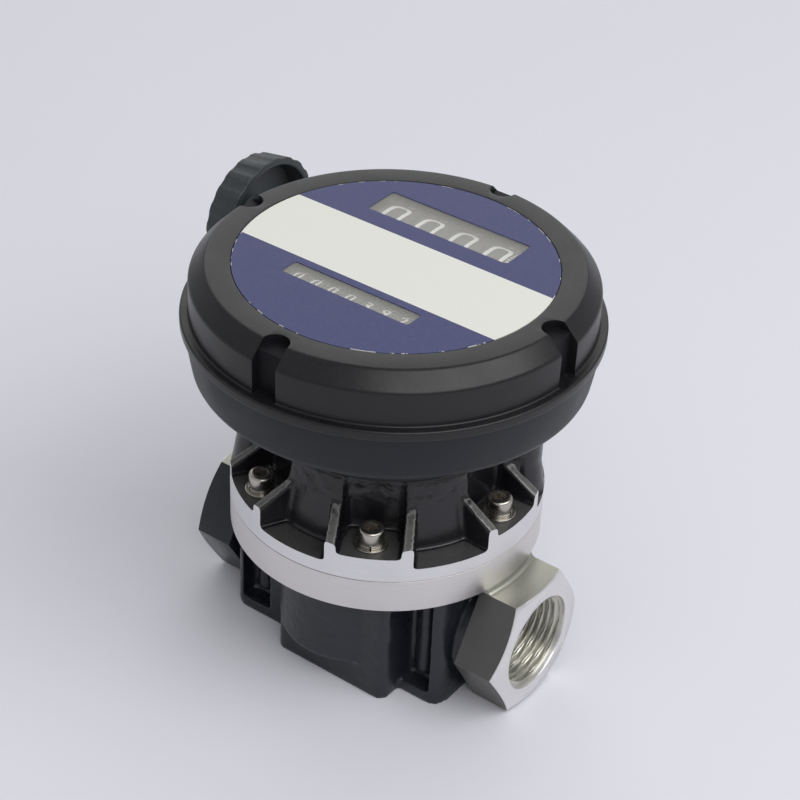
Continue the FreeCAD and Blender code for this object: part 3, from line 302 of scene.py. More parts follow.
def turned_metal(name, colour, roughness, axis="Z", centre=(0, 0, 0), pitch=9000.0, depth=0.02):
    """Bare metal with streaks round its turning axis."""
    material, tree, shader, coords = finish(name, colour, roughness, 1.0)
    to_centre = tuple(-c * MM for c in centre)
    vector = node(tree, "VectorMath", {0: coords, 1: to_centre}, operation="ADD").outputs[0]
    if axis == "X":
        x, y, z = node(tree, "SeparateXYZ", {0: vector}).outputs
        vector = node(tree, "CombineXYZ", {0: y, 1: z, 2: x}).outputs[0]
    lines = use(tree, marks, vector, Pitch=pitch)
    vary(tree, shader.inputs["Roughness"], lines.outputs["Tone"], roughness - 0.08, roughness + 0.10)
    darker = tuple(c * STREAK_DARK for c in colour)
    tree.links.new(tint(tree, lines.outputs["Tone"], darker, colour), shader.inputs["Base Color"])
    emboss(tree, shader, lines.outputs["Height"], depth)
    return material


PORT_MOUNT = next(m for m in frame["record"]["mounts"] if m["name"] == "right_port")
PORT_AXIS_Z = round(PORT_MOUNT["pos_m"][2] / MM, 2)
PARTING_Z = span("rotor_cover")[0][2]
turned_rim = turned_metal("turned_rim", (0.88, 0.87, 0.88), 0.42, pitch=2500.0)
flange_metal = turned_metal("flange_metal", (0.80, 0.77, 0.76), 0.38, pitch=2500.0)
port_metal = turned_metal("port_metal", (0.90, 0.89, 0.88), 0.32, "X", (0, 0, PORT_AXIS_Z))
# darker, greenish metal for the pipe thread: painted shade inside the bore
shaded_thread_metal = turned_metal("shaded_thread_metal", (0.62, 0.61, 0.54), 0.30, "X", (0, 0, PORT_AXIS_Z))
# darker, greenish metal for milled flats: painted reflection of dim surroundings
milled_reflection_metal = turned_metal("milled_reflection_metal", (0.47, 0.47, 0.41), 0.40, "X", (0, 0, PARTING_Z), pitch=1500.0)
stainless = turned_metal("stainless", (0.55, 0.52, 0.47), 0.27, pitch=900.0, depth=0.002)
sheet_steel = turned_metal("sheet_steel", (0.56, 0.56, 0.55), 0.35, "X", (0, 0, PARTING_Z))
bush_brass = turned_metal("bush_brass", (0.68, 0.50, 0.22), 0.30)
magnet_metal = turned_metal("magnet_metal", (0.20, 0.20, 0.21), 0.45)
print("pipe ports at height", PORT_AXIS_Z, "and cover joint at height", PARTING_Z)


# %% Paint on the castings
RIB_RISE = 0.80                         # upward part of the normal on a rib's sloping top
RIB_MIDDLE_Z, RIB_HALF_H = 76.0, 5.6    # heights between which those tops lie
SLOPE_NEAR, SLOPE_FAR = 0.02, 0.10
LEVEL_RISE, LEVEL_SHARE = 0.95, 0.27
SHEEN_GREY = (0.26, 0.26, 0.245)
RUN_SCALE, GRAIN_SHARE = 160.0, 0.08
PAINT_GAIN, PAINT_LIFT = 1.8, 0.003
PAINT_DUST = 0.05


def rubbed_mask(tree, coords, amount):
    """Painted sheen on the cover: the ribs' sloping tops, and a little of the level faces, are lightened to stand
    for the room's light on them.
    """
    rise = node(tree, "SeparateXYZ", {0: node(tree, "NewGeometry").outputs["Normal"]}).outputs[2]
    off_slope = math_node(tree, "ABSOLUTE", math_node(tree, "SUBTRACT", rise, RIB_RISE))
    slope_range = {0: off_slope, 1: SLOPE_NEAR, 2: SLOPE_FAR, 3: amount, 4: 0.0}
    on_slope = node(tree, "MapRange", slope_range).outputs[0]
    height = node(tree, "SeparateXYZ", {0: coords}).outputs[2]
    off_middle = math_node(tree, "ABSOLUTE", math_node(tree, "SUBTRACT", height, RIB_MIDDLE_Z * MM))
    on_rib = math_node(tree, "MULTIPLY", on_slope, math_node(tree, "LESS_THAN", off_middle, RIB_HALF_H * MM))
    level_range = {0: rise, 1: LEVEL_RISE, 2: 1.0, 3: 0.0, 4: amount * LEVEL_SHARE}
    on_level = node(tree, "MapRange", level_range).outputs[0]
    return math_node(tree, "MAXIMUM", on_rib, on_level)


def painted(name, colour, roughness, lump, painted_sheen=0.0):
    """Thick black paint over a cast skin: glossy, lumpy, a little dusty, and lightened grey where painted sheen is
    asked for.
    """
    material, tree, shader, coords = finish(name, colour, roughness)
    runs = node(tree, "TexNoise", {"Vector": coords, "Scale": RUN_SCALE, "Detail": 3.0, "Roughness": 0.55})
    skin = use(tree, grain, coords, Size=1400.0)
    vary(tree, shader.inputs["Roughness"], skin.outputs["Mottle"], roughness - 0.06, roughness + 0.12)
    lighter = tuple(c * PAINT_GAIN + PAINT_LIFT for c in colour)
    toned = tint(tree, skin.outputs["Mottle"], colour, lighter)
    # painted sheen: grey on the rib tops and level faces, standing for reflected light
    toned = tint(tree, rubbed_mask(tree, coords, painted_sheen), toned, SHEEN_GREY)
    film = use(tree, dust, coords, Amount=PAINT_DUST)
    tree.links.new(tint(tree, film.outputs["Mask"], toned, DUST_GREY), shader.inputs["Base Color"])
    fine = math_node(tree, "MULTIPLY", skin.outputs["Height"], GRAIN_SHARE)
    emboss(tree, shader, math_node(tree, "ADD", runs.outputs["Fac"], fine), lump)
    return material


# the cover's rib tops and level faces get painted sheen
cover_paint = painted("cover_paint", (0.006, 0.006, 0.008), 0.24, 0.04, painted_sheen=0.8)
# lighter paint for the right port's flats: painted light where the lamp falls on them
lit_port_paint = painted("lit_port_paint", (0.052, 0.052, 0.051), 0.34, 0.05)
body_paint = painted("body_paint", (0.008, 0.009, 0.013), 0.27, 0.12)
print("finishes so far:", len(bpy.data.materials))

# %% [markdown]
# ## Studio
# A pale table top and an even room. The large lamp hangs to the right of the camera and above it, because the
# sloping edge of the bezel mirrors that place, and a bright wall behind lights what faces up.

# %% Table top
TABLE_HALF = 3.0
TABLE_DARK, TABLE_PALE = (0.78, 0.78, 0.84), (0.82, 0.82, 0.88)


def table_finish():
    """Pale satin top with slow clouds in its tone."""
    material, tree, shader, coords = finish("table_top", TABLE_PALE, 0.55, shine=0.25)
    cloud = use(tree, grain, coords, Size=60.0)
    toned = tint(tree, cloud.outputs["Mottle"], TABLE_DARK, TABLE_PALE)
    tree.links.new(toned, shader.inputs["Base Color"])
    return material


table_corners = [(sx * TABLE_HALF, sy * TABLE_HALF, 0) for sx, sy in ((-1, -1), (1, -1), (1, 1), (-1, 1))]
table_mesh = bpy.data.meshes.new("table_top")
table_mesh.from_pydata(table_corners, [], [(0, 1, 2, 3)])
table_mesh.materials.append(table_finish())
table = bpy.data.objects.new("table_top", table_mesh)
bpy.context.collection.objects.link(table)
print("table top", 2 * TABLE_HALF, "m wide")

# %% Room light and lamps
ROOM_COLOUR, ROOM_STRENGTH = (0.97, 0.98, 1.0), 0.42
LAMP_AIM = Vector((0, 0, 0.1))
world = bpy.data.worlds.new("room")
world.use_nodes = True
bpy.context.scene.world = world
sky = world.node_tree.nodes["Background"]
sky.inputs["Color"].default_value = (*ROOM_COLOUR, 1)
sky.inputs["Strength"].default_value = ROOM_STRENGTH


def softbox(name, azimuth, elevation, distance, width, height, watts):
    """Rectangular lamp that looks at the object from the given side."""
    a, e = math.radians(azimuth), math.radians(elevation)
    out = Vector((math.sin(a) * math.cos(e), -math.cos(a) * math.cos(e), math.sin(e)))
    data = bpy.data.lights.new(name, "AREA")
    data.shape = "RECTANGLE"
    data.size, data.size_y = width, height
    data.energy = watts
    lamp = bpy.data.objects.new(name, data)
    lamp.location = LAMP_AIM + out * distance
    lamp.rotation_euler = out.to_track_quat("Z", "Y").to_euler()
    bpy.context.collection.objects.link(lamp)


softbox("window_lamp", azimuth=80, elevation=50, distance=1.5, width=2.0, height=1.0, watts=17.0)
softbox("back_wall", azimuth=215, elevation=30, distance=2.0, width=2.0, height=1.6, watts=8.5)
print("lamps:", [lamp.name for lamp in bpy.data.lights])

# %% [markdown]
# ## Helpers for solid pieces
# Turned pieces are spun from half a drawing, with every corner eased by a short curve, because no real
# edge is perfectly sharp. Holes and notches are cut with Blender's manifold boolean.

# %% Mesh helpers
def add(name, points, faces):
    """A linked mesh object from points in millimetres."""
    mesh = bpy.data.meshes.new(name)
    mesh.from_pydata([Vector(p) * MM for p in points], [], faces)
    work = bmesh.new()
    work.from_mesh(mesh)
    bmesh.ops.recalc_face_normals(work, faces=work.faces)
    work.to_mesh(mesh)
    work.free()
    made = bpy.data.objects.new(name, mesh)
    bpy.context.collection.objects.link(made)
    return made


def settle(piece):
    """Apply a piece's modifiers to its mesh."""
    graph = bpy.context.evaluated_depsgraph_get()
    mesh = bpy.data.meshes.new_from_object(piece.evaluated_get(graph))
    piece.modifiers.clear()
    piece.data = mesh


def combine(piece, tool, operation="DIFFERENCE"):
    """Cut a tool out of a piece, or keep only what they share; the tool is used up."""
    change = piece.modifiers.new("combine", "BOOLEAN")
    change.object = tool
    change.operation = operation
    change.solver = "MANIFOLD"
    settle(piece)
    bpy.data.objects.remove(tool)


# %% Outlines
CORNER_ROOM = 0.48                      # share of an edge that the curve at one of its ends may take
REACH_PER_RADIUS = 1.5                  # a curve that starts this far out is about as round as an arc


def eased(outline, steps=4):
    """Outline of (a, b, ease) points with each corner rounded by its own ease."""
    soft = []
    for i, (a, b, ease) in enumerate(outline):
        corner = Vector((a, b))
        before = Vector(outline[i - 1][:2]) - corner
        after = Vector(outline[(i + 1) % len(outline)][:2]) - corner
        reach = min(ease, before.length * CORNER_ROOM, after.length * CORNER_ROOM)
        if reach <= 0:
            soft.append((a, b))
            continue
        start = corner + before.normalized() * reach
        end = corner + after.normalized() * reach
        for step in range(steps + 1):
            t = step / steps
            soft.append(tuple(start * (1 - t) ** 2 + corner * 2 * t * (1 - t) + end * t * t))
    return soft


def disc(radius, x=0.0, y=0.0, sides=128):
    """Round outline."""
    return [(x + radius * math.cos(2 * math.pi * i / sides), y + radius * math.sin(2 * math.pi * i / sides))
            for i in range(sides)]


def oblong(half_x, half_y, radius, x=0.0, y=0.0):
    """Rectangle outline with rounded corners."""
    corners = [(x + sx * half_x, y + sy * half_y, radius * REACH_PER_RADIUS)
               for sx, sy in ((1, 1), (-1, 1), (-1, -1), (1, -1))]
    return eased(corners, steps=8)


print("a rounded square has", len(oblong(10, 10, 1)), "points")


# %% Solids from outlines
def spin(name, outline, sides=192):
    """Solid of revolution about Z from a closed outline of (radius, height)."""
    points, faces, rows = [], [], []
    for r, h in outline:
        first = len(points)
        count = sides if r > 1e-6 else 1
        points += [(x, y, h) for x, y in disc(r, sides=sides)[:count]]
        rows.append([first + i % count for i in range(sides)])
    for lower, upper in zip(rows, rows[1:] + rows[:1]):
        for i in range(sides):
            j = (i + 1) % sides
            face = list(dict.fromkeys([lower[i], lower[j], upper[j], upper[i]]))
            if len(face) > 2:
                faces.append(face)
    return add(name, points, faces)


def prism(name, outline, z0, z1):
    """Upright block with the given (x, y) outline."""
    n = len(outline)
    points = [(x, y, z0) for x, y in outline] + [(x, y, z1) for x, y in outline]
    faces = [list(range(n))[::-1], list(range(n, 2 * n))]
    faces += [[i, (i + 1) % n, n + (i + 1) % n, n + i] for i in range(n)]
    return add(name, points, faces)


def along_x(piece, y, z):
    """Lay a piece built on Z along the X axis through (y, z)."""
    lay = Matrix(((0, 0, 1, 0), (1, 0, 0, y * MM), (0, 1, 0, z * MM), (0, 0, 0, 1)))
    piece.data.transform(lay)
    return piece


# %% Joining and dressing
def gather(name, pieces):
    """Join several meshes into one object."""
    work = bmesh.new()
    for piece in pieces:
        work.from_mesh(piece.data)
        bpy.data.objects.remove(piece)
    mesh = bpy.data.meshes.new(name)
    work.to_mesh(mesh)
    work.free()
    made = bpy.data.objects.new(name, mesh)
    bpy.context.collection.objects.link(made)
    return made


def dress(piece, body, slot, *materials, sharp=32):
    """Give a finished mesh its materials, its shading and the body that it moves with."""
    mesh = piece.data
    mesh.materials.clear()
    for material in materials:
        mesh.materials.append(material)
    mesh.polygons.foreach_set("use_smooth", [True] * len(mesh.polygons))
    mesh.set_sharp_from_angle(angle=math.radians(sharp))
    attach(piece, body)
    print(piece.name, len(mesh.polygons), "faces")


# %% [markdown]
# ## Register housing
# A moulded bowl: a narrow neck on the cover, a slope out to a rounded edge, and a nearly straight side.
# It is one turned outline, so spinning it gives true round edges with few numbers. The gland that the
# reset shaft comes through is a second turned form, laid along X.

# %% Housing
_, RESET_Y, RESET_Z = axis_of("knob")
(_, _, FOOT_Z), (BOWL_R, _, COLLAR_TOP) = span("register_housing")
(_, _, JOINT_Z), (LIP_R, _, BEZEL_TOP) = span("bezel")
NECK_IN_R, NECK_R = 32.0, 40.0
COLLAR_IN_R, COLLAR_R = 58.2, 61.0
GLAND_IN_R, GLAND_R = 4.7, 8.0
GLAND_OUT_X, GLAND_IN_X = -65.7, -55.0
bowl = spin("bowl", eased([
    (NECK_IN_R, FOOT_Z, 0), (NECK_R, FOOT_Z, 0.4), (NECK_R, 92.56, 1.0), (61.8, 107.9, 1.5),
    (64.9, 110.3, 2.2), (BOWL_R, JOINT_Z, 0.5), (COLLAR_R, JOINT_Z, 0), (COLLAR_R, COLLAR_TOP, 0.4),
    (COLLAR_IN_R, COLLAR_TOP, 0.4), (COLLAR_IN_R, JOINT_Z, 0.4), (65.5, 122.5, 0.5), (62.9, 111.0, 1.0),
    (41.5, 96.0, 0.5), (NECK_IN_R, 96.0, 0)]))
gland = spin("gland", eased([
    (GLAND_IN_R, GLAND_OUT_X, 0), (GLAND_R, GLAND_OUT_X, 0.8), (GLAND_R, GLAND_IN_X, 0),
    (GLAND_IN_R, GLAND_IN_X, 0)]), sides=64)
along_x(gland, RESET_Y, RESET_Z)
under_bezel = prism("under_bezel", oblong(70, 70, 0), 100.0, JOINT_Z - 0.3)
combine(gland, under_bezel, "INTERSECT")
housing = gather("register_housing_shell", [bowl, gland])
dress(housing, "meter", "black plastic", housing_plastic)
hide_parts("register_housing")

# %% [markdown]
# ## Bezel
# The screw-on ring has a flat face, a wide chamfer and a lip at its foot. Four spanner notches with round
# ends are cut through it, then their edges are softened like the rest of the moulding.

# %% Bezel
OPENING_R, FACE_R, WALL_R, THREAD_IN_R = 52.1, 60.4, 65.6, 61.3
CHAMFER_FOOT, PLATE_Z, LIP_TOP = 141.7, 143.0, 129.9
bezel = spin("bezel_ring", eased([
    (OPENING_R, BEZEL_TOP, 0.5), (FACE_R, BEZEL_TOP, 0.8), (WALL_R, CHAMFER_FOOT, 0.9),
    (WALL_R, LIP_TOP, 0.7), (LIP_R, LIP_TOP, 0.8), (LIP_R, JOINT_Z, 0.5), (THREAD_IN_R, JOINT_Z, 0.2),
    (THREAD_IN_R, PLATE_Z, 0.3), (OPENING_R, PLATE_Z, 0.2)]), sides=240)
print(bezel.name, "turned to radius", LIP_R)


# %% Copies and soft edges
def turned_copies(piece, count):
    """Copies of a piece, evenly round the meter's axis, in its stead."""
    copies = []
    for i in range(count):
        copy = piece.copy()
        copy.data = piece.data.copy()
        copy.data.transform(Matrix.Rotation(math.radians(360 * i / count), 4, "Z"))
        bpy.context.collection.objects.link(copy)
        copies.append(copy)
    bpy.data.objects.remove(piece)
    return copies


def soften(piece, width, angle, segments=3):
    """Round the sharp edges of a cut piece."""
    ease = piece.modifiers.new("soften", "BEVEL")
    ease.width = width * MM
    ease.segments = segments
    ease.limit_method = "ANGLE"
    ease.angle_limit = math.radians(angle)
    ease.use_clamp_overlap = True
    settle(piece)


# %% Spanner notches
NOTCH_COUNT, NOTCH_HALF, NOTCH_END = 4, 4.5, 55.5
NOTCH_SHELF_Z, NOTCH_BACK, PAST = 144.3, 62.5, 72.0
ARC_STEPS = 16
WALL_CLEAR, TOP_CLEAR = 0.4, 0.7        # rounded edges that keep the bezel's own finish
notch_outline = [(PAST, -NOTCH_HALF), (PAST, NOTCH_HALF)]
for i in range(ARC_STEPS + 1):
    a = math.radians(90 + 180 * i / ARC_STEPS)
    notch_outline.append((NOTCH_END + NOTCH_HALF + NOTCH_HALF * math.cos(a), NOTCH_HALF * math.sin(a)))
wall_outline = [(NOTCH_BACK, -NOTCH_HALF), (PAST, -NOTCH_HALF), (PAST, NOTCH_HALF), (NOTCH_BACK, NOTCH_HALF)]
shelf = prism("notch_shelf", notch_outline, NOTCH_SHELF_Z, BEZEL_TOP + 3)
wall = prism("notch_wall", wall_outline, LIP_TOP, BEZEL_TOP + 3)
for cutter in (shelf, wall):
    for cut in turned_copies(cutter, NOTCH_COUNT):
        combine(bezel, cut)
soften(bezel, width=0.6, angle=40)
dress(bezel, "meter", "black plastic", bezel_plastic, notch_shade_plastic)


def in_notch(centre):
    """Whether a face of the bezel lies inside one of the notches."""
    across, out = sorted((abs(centre.x) / MM, abs(centre.y) / MM))
    inside = across < NOTCH_HALF and NOTCH_END < out < WALL_R - WALL_CLEAR
    return inside and LIP_TOP < centre.z / MM < BEZEL_TOP - TOP_CLEAR


# faces inside the notches take the duller plastic, painted shade
notched = [p for p in bezel.data.polygons if in_notch(p.center)]
for p in notched:
    p.material_index = 1
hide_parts("bezel")
print("faces in the notches:", len(notched))

# %% [markdown]
# ## Printed label
# A blue film with a white band, stuck on the clear cup, with two windows over the number wheels. The print
# is a mask on height across the dial, and bare paper shows here and there along the film's edge.

# %% Label print
BAND_LOW, BAND_HIGH = -17.1, 13.6
PAPER_EDGE_R, PAPER_SHARE = 51.80, 0.58
BLUE_DARK, BLUE_PALE = (0.046, 0.053, 0.152), (0.049, 0.056, 0.160)
CREAM_DARK, CREAM_PALE = (0.77, 0.77, 0.71), (0.79, 0.79, 0.73)
FILM_DUST = (0.5, 0.5, 0.5)


def label_print():
    """Printed film: a cream band on blue, and bits of bare paper along the edge."""
    material, tree, shader, coords = finish("label_print", BLUE_PALE, 0.38, shine=0.25)
    x, y, _ = node(tree, "SeparateXYZ", {0: coords}).outputs
    above = math_node(tree, "GREATER_THAN", y, BAND_LOW * MM)
    below = math_node(tree, "LESS_THAN", y, BAND_HIGH * MM)
    flat = node(tree, "CombineXYZ", {0: x, 1: y}).outputs[0]
    radius = node(tree, "VectorMath", {0: flat}, operation="LENGTH").outputs["Value"]
    edge = math_node(tree, "GREATER_THAN", radius, PAPER_EDGE_R * MM)
    skin = use(tree, grain, coords, Size=9000.0)
    mottle = skin.outputs["Mottle"]
    broken = math_node(tree, "MULTIPLY", edge, math_node(tree, "GREATER_THAN", mottle, PAPER_SHARE))
    white = math_node(tree, "MAXIMUM", math_node(tree, "MULTIPLY", above, below), broken)
    blue = tint(tree, mottle, BLUE_DARK, BLUE_PALE)
    cream = tint(tree, mottle, CREAM_DARK, CREAM_PALE)
    film = use(tree, dust, coords, Amount=0.03)
    inked = tint(tree, film.outputs["Mask"], tint(tree, white, blue, cream), FILM_DUST)
    tree.links.new(inked, shader.inputs["Base Color"])
    vary(tree, shader.inputs["Roughness"], mottle, 0.34, 0.42)
    emboss(tree, shader, skin.outputs["Height"], 0.02)
    return material


dial_film = label_print()
print(dial_film.name, "has", len(dial_film.node_tree.nodes), "nodes")

# %% Label
LABEL_R = 51.95
(_, _, LABEL_Z), (_, _, LABEL_TOP) = span("dial_label")
_, TOTAL_Y, _ = axis_of("total_digit_1")
BIG_WINDOW, SMALL_WINDOW = (27.5, 7.0), (24.5, 3.6)
WINDOW_ROUND = 0.8
label = spin("dial_print", [(0, LABEL_Z), (LABEL_R, LABEL_Z), (LABEL_R, LABEL_TOP), (0, LABEL_TOP)])
for (half_x, half_y), window_y in ((BIG_WINDOW, RESET_Y), (SMALL_WINDOW, TOTAL_Y)):
    window = oblong(half_x, half_y, WINDOW_ROUND, 0, window_y)
    combine(label, prism("window", window, LABEL_Z - 1, LABEL_Z + 1))
dress(label, "meter", "printed label", dial_film)
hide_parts("dial_label")

# %% [markdown]
# ## Lens
# The clear cup shows only in the two windows, where it lies over the wheels with a grey haze, which is
# painted reflection of the room on the cup. A little opacity with a pale colour stands for that haze and lets
# the room's light down to the wheels.

# %% Lens
LENS_REFLECTION_HAZE, ACRYLIC_IOR = 0.24, 1.49


def hazy_lens():
    """Clear plastic with a grey haze of painted reflection, and smears in its gloss."""
    material, tree, shader, coords = finish("clear_lens", (0.78, 0.77, 0.72), 0.08)
    shader.inputs["Alpha"].default_value = LENS_REFLECTION_HAZE
    shader.inputs["IOR"].default_value = ACRYLIC_IOR
    smears = use(tree, grain, coords, Size=700.0)
    vary(tree, shader.inputs["Roughness"], smears.outputs["Mottle"], 0.05, 0.14)
    return material


clear_lens = hazy_lens()
print("lens haze", LENS_REFLECTION_HAZE)

# %% [markdown]
# ## Number wheels
# Each wheel carries ten numerals round its rim. A text curve gives the shape, apart from the zero, which is
# a plain ring. A few cuts across let a numeral bend, and then its flat height becomes an angle on the wheel.

# %% Flat numerals
BEND_STEP = 0.9
TICK_HALF, TICK_LONG, TICK_SHORT = 0.22, 2.6, 1.8


def zero_points(height, width, stroke):
    """A zero as a rounded ring of even stroke."""
    outer = oblong(width / 2, height / 2, width * 0.4)
    inner = oblong(width / 2 - stroke, height / 2 - stroke, width * 0.4 - stroke)
    work = bmesh.new()
    rings = [[work.verts.new((x, y, 0)) for x, y in outline] for outline in (outer, inner)]
    for i in range(len(outer)):
        work.faces.new((rings[0][i - 1], rings[0][i], rings[1][i], rings[1][i - 1]))
    return work


def text_points(sign, height, width, stroke):
    """Any other numeral from a text curve, made bolder to match the stroke."""
    text = bpy.data.curves.new("numeral", "FONT")
    text.body = sign
    text.align_x = "CENTER"
    text.align_y = "CENTER"
    text.resolution_u = 4
    text.offset = (stroke / height - 0.10) * 0.3
    holder = bpy.data.objects.new("numeral", text)
    bpy.context.collection.objects.link(holder)
    graph = bpy.context.evaluated_depsgraph_get()
    mesh = bpy.data.meshes.new_from_object(holder.evaluated_get(graph))
    bpy.data.objects.remove(holder)
    work = bmesh.new()
    work.from_mesh(mesh)
    bmesh.ops.remove_doubles(work, verts=work.verts, dist=1e-5)
    xs = [v.co.x for v in work.verts]
    ys = [v.co.y for v in work.verts]
    scale = height / (max(ys) - min(ys))
    stretch = 1.0 if sign == "1" else width / (max(xs) - min(xs)) / scale
    middle = Vector(((max(xs) + min(xs)) / 2, (max(ys) + min(ys)) / 2, 0))
    for v in work.verts:
        v.co = (v.co - middle) * scale
        v.co.x *= stretch
    return work


def numeral_points(sign, height, width, stroke):
    """Flat mesh of one numeral, centred, cut across at even steps so that it can bend."""
    work = zero_points(height, width, stroke) if sign == "0" else text_points(sign, height, width, stroke)
    count = int(height / BEND_STEP)
    for i in range(1, count):
        y = -height / 2 + i * height / count
        bmesh.ops.bisect_plane(work, geom=work.verts[:] + work.edges[:] + work.faces[:], plane_co=(0, y, 0),
                               plane_no=(0, 1, 0))
    return work


def tick_points(x, length):
    """Flat bar of the fine scale beside the numerals."""
    work = bmesh.new()
    work.faces.new([work.verts.new((x - sx * length / 2, sy * TICK_HALF, 0))
                    for sx, sy in ((-1, -1), (1, -1), (1, 1), (-1, 1))])
    return work


print("ticks", TICK_LONG, "and", TICK_SHORT, "mm long")


# %% Numerals bent round their wheels
INK_RAISE, INK_SINK = 0.06, 0.25
TICK_COUNT = 100


def wheel_numerals(counter, number, shown, shift, height, width, stroke, lean, ticks_x=None):
    """Ten raised numerals on one wheel, with the shown one on top or leaning a little to the back."""
    body = "%s_digit_%d" % (counter, number)
    x, y, z = axis_of(body)
    low, high = span("%s_wheel_%d" % (counter, number))
    radius = round((high[2] - low[2]) / 2, 1)
    points, faces = [], []

    def wrap(work, angle):
        first, count = len(points), len(work.verts)
        work.verts.index_update()
        for r in (radius + INK_RAISE, radius - INK_SINK):
            for v in work.verts:
                turn = angle - v.co.y / radius
                points.append((x - shift + v.co.x, y - r * math.sin(turn), z + r * math.cos(turn)))
        for f in work.faces:
            ids = [v.index for v in f.verts]
            faces.append([first + i for i in ids])
            faces.append([first + count + i for i in reversed(ids)])
        for e in work.edges:
            if e.is_boundary:
                i, j = (v.index for v in e.verts)
                faces.append([first + i, first + j, first + count + j, first + count + i])
        work.free()

    for digit in range(10):
        angle = -math.radians(lean) - (digit - shown) * math.pi / 5
        wrap(numeral_points(str(digit), height, width, stroke), angle)
    if ticks_x is not None:
        for i in range(TICK_COUNT):
            wrap(tick_points(ticks_x, TICK_SHORT if i % 5 else TICK_LONG), i * 2 * math.pi / TICK_COUNT)
    numerals = add("%s_numerals_%d" % (counter, number), points, faces)
    dress(numerals, body, "number wheels", numeral_ink)


for number in range(1, 5):
    wheel_numerals("reset", number, shown=0, shift=1.2, height=12.0, width=7.6, stroke=1.45, lean=1.2,
                   ticks_x=5.6 if number == 1 else None)
for number, shown in enumerate((2, 9, 3, 0, 0, 0, 0), start=1):
    wheel_numerals("total", number, shown, shift=0.7, height=5.3, width=2.6, stroke=0.64, lean=4.0)

# %% [markdown]
# ## Cover casting
# The ribbed cover is cast, painted thick and black, and only then turned on a lathe, so its rim is bright
# and its top edge follows every rib and pocket. The piece is made in the same order: the solid grows past
# its rim, a voxel skin rounds it like a casting, noise adds sags of paint, and a cylinder turns the rim.

# %% Cast skin
def cast_skin(piece, voxel, smoothing):
    """Round a rough shape all over, inside corners too, as sand and paint do."""
    skin = piece.modifiers.new("skin", "REMESH")
    skin.mode = "VOXEL"
    skin.voxel_size = voxel * MM
    ease = piece.modifiers.new("ease", "SMOOTH")
    ease.factor = 0.5
    ease.iterations = smoothing
    settle(piece)


def paint_sags(piece, depth, scale, where):
    """Push the skin out and in by noise, by the share that where() gives for a point in millimetres."""
    mesh = piece.data
    normals = [Vector(n.vector) for n in mesh.vertex_normals]
    moved = []
    for v, normal in zip(mesh.vertices, normals):
        swell = noise.fractal(v.co * scale, 0.8, 2.0, 3)
        moved.extend(v.co + normal * (swell * depth * where(v.co / MM) * MM))
    mesh.vertices.foreach_set("co", moved)
    mesh.update()


# %% Cover, as cast
RIM_R = span("rotor_cover")[1][0]
BAY_Z = 65.0
RIM_REACH, LOBE_REACH = 56.0, 53.1      # the lobes only just reach the rim, so they grow little
LOBE_ANGLE, LOBE_HALF = 30.0, 6.0


def solid_copy(name, node_name):
    """A new object with a solid's shape, and a work mesh to change before it goes back to the object."""
    made = bpy.data.objects.new(name, nodes[node_name].data.copy())
    bpy.context.collection.objects.link(made)
    work = bmesh.new()
    work.from_mesh(made.data)
    bmesh.ops.remove_doubles(work, verts=work.verts, dist=1e-6)
    return made, work


def grow_rim(point):
    """Move a point of the rim straight out."""
    out = math.hypot(point.x, point.y)
    angle = math.degrees(math.atan2(point.y, point.x)) % 180
    on_lobe = abs(angle - LOBE_ANGLE) < LOBE_HALF and point.z > (BAY_Z - 0.1) * MM
    if out > (RIM_R - 0.3) * MM:
        reach = (LOBE_REACH if on_lobe else RIM_REACH) * MM
        point.x, point.y = point.x / out * reach, point.y / out * reach


cover, cover_work = solid_copy("cover_casting", "rotor_cover")
for v in cover_work.verts:
    grow_rim(v.co)
cover_work.to_mesh(cover.data)
cover_work.free()
print("cover grown to", RIM_REACH, "before it is turned to", RIM_R)

# %% Cover, painted and turned
SCREW_COUNT = 6
(_, _, SEAT_Z), (_, _, HEAD_Z) = span("cover_washers")
POCKET_X, POCKET_HALF_X, POCKET_HALF_Y = 45.6, 8.6, 9.0
HUB_R = 45.0
SAG_FROM, SAG_OVER = 77.0, 6.0
SAG_LEAST, SAG_OUTSIDE = 0.06, 0.3
SEAM = 0.12


def hub_top(p):
    """Sags gather high on the hub, where the ribs end; the rest stays smooth."""
    high = min(1.0, max(0.0, (p.z - SAG_FROM) / SAG_OVER))
    share = 1.0 if math.hypot(p.x, p.y) < HUB_R else SAG_OUTSIDE
    return SAG_LEAST + (1 - SAG_LEAST) * high * share


pocket_outline = oblong(POCKET_HALF_X, POCKET_HALF_Y, 1.5, POCKET_X)
pocket = prism("pocket_corner", pocket_outline, SEAT_Z, SEAT_Z + 3.5)
for cut in turned_copies(pocket, SCREW_COUNT):
    combine(cover, cut)
cast_skin(cover, voxel=0.5, smoothing=18)
paint_sags(cover, depth=0.34, scale=230.0, where=hub_top)
combine(cover, prism("lathe", disc(RIM_R, sides=256), PARTING_Z + SEAM, 95.0), "INTERSECT")
dress(cover, "meter", "painted casting", cover_paint, turned_rim)
bare = [p for p in cover.data.polygons
        if math.hypot(p.center.x, p.center.y) > (RIM_R - 0.06) * MM and abs(p.normal.z) < 0.2]
for p in bare:
    p.material_index = 1
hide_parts("rotor_cover")
print("bare rim faces:", len(bare))

# %% [markdown]
# ## Body casting
# Below the joint the body is a block with a foot, two round chamber walls and cored pockets. Blocks that
# overlap are gathered and given one cast skin; the turned flange and the hexagon ports are crisp, so they
# are pieces of their own.

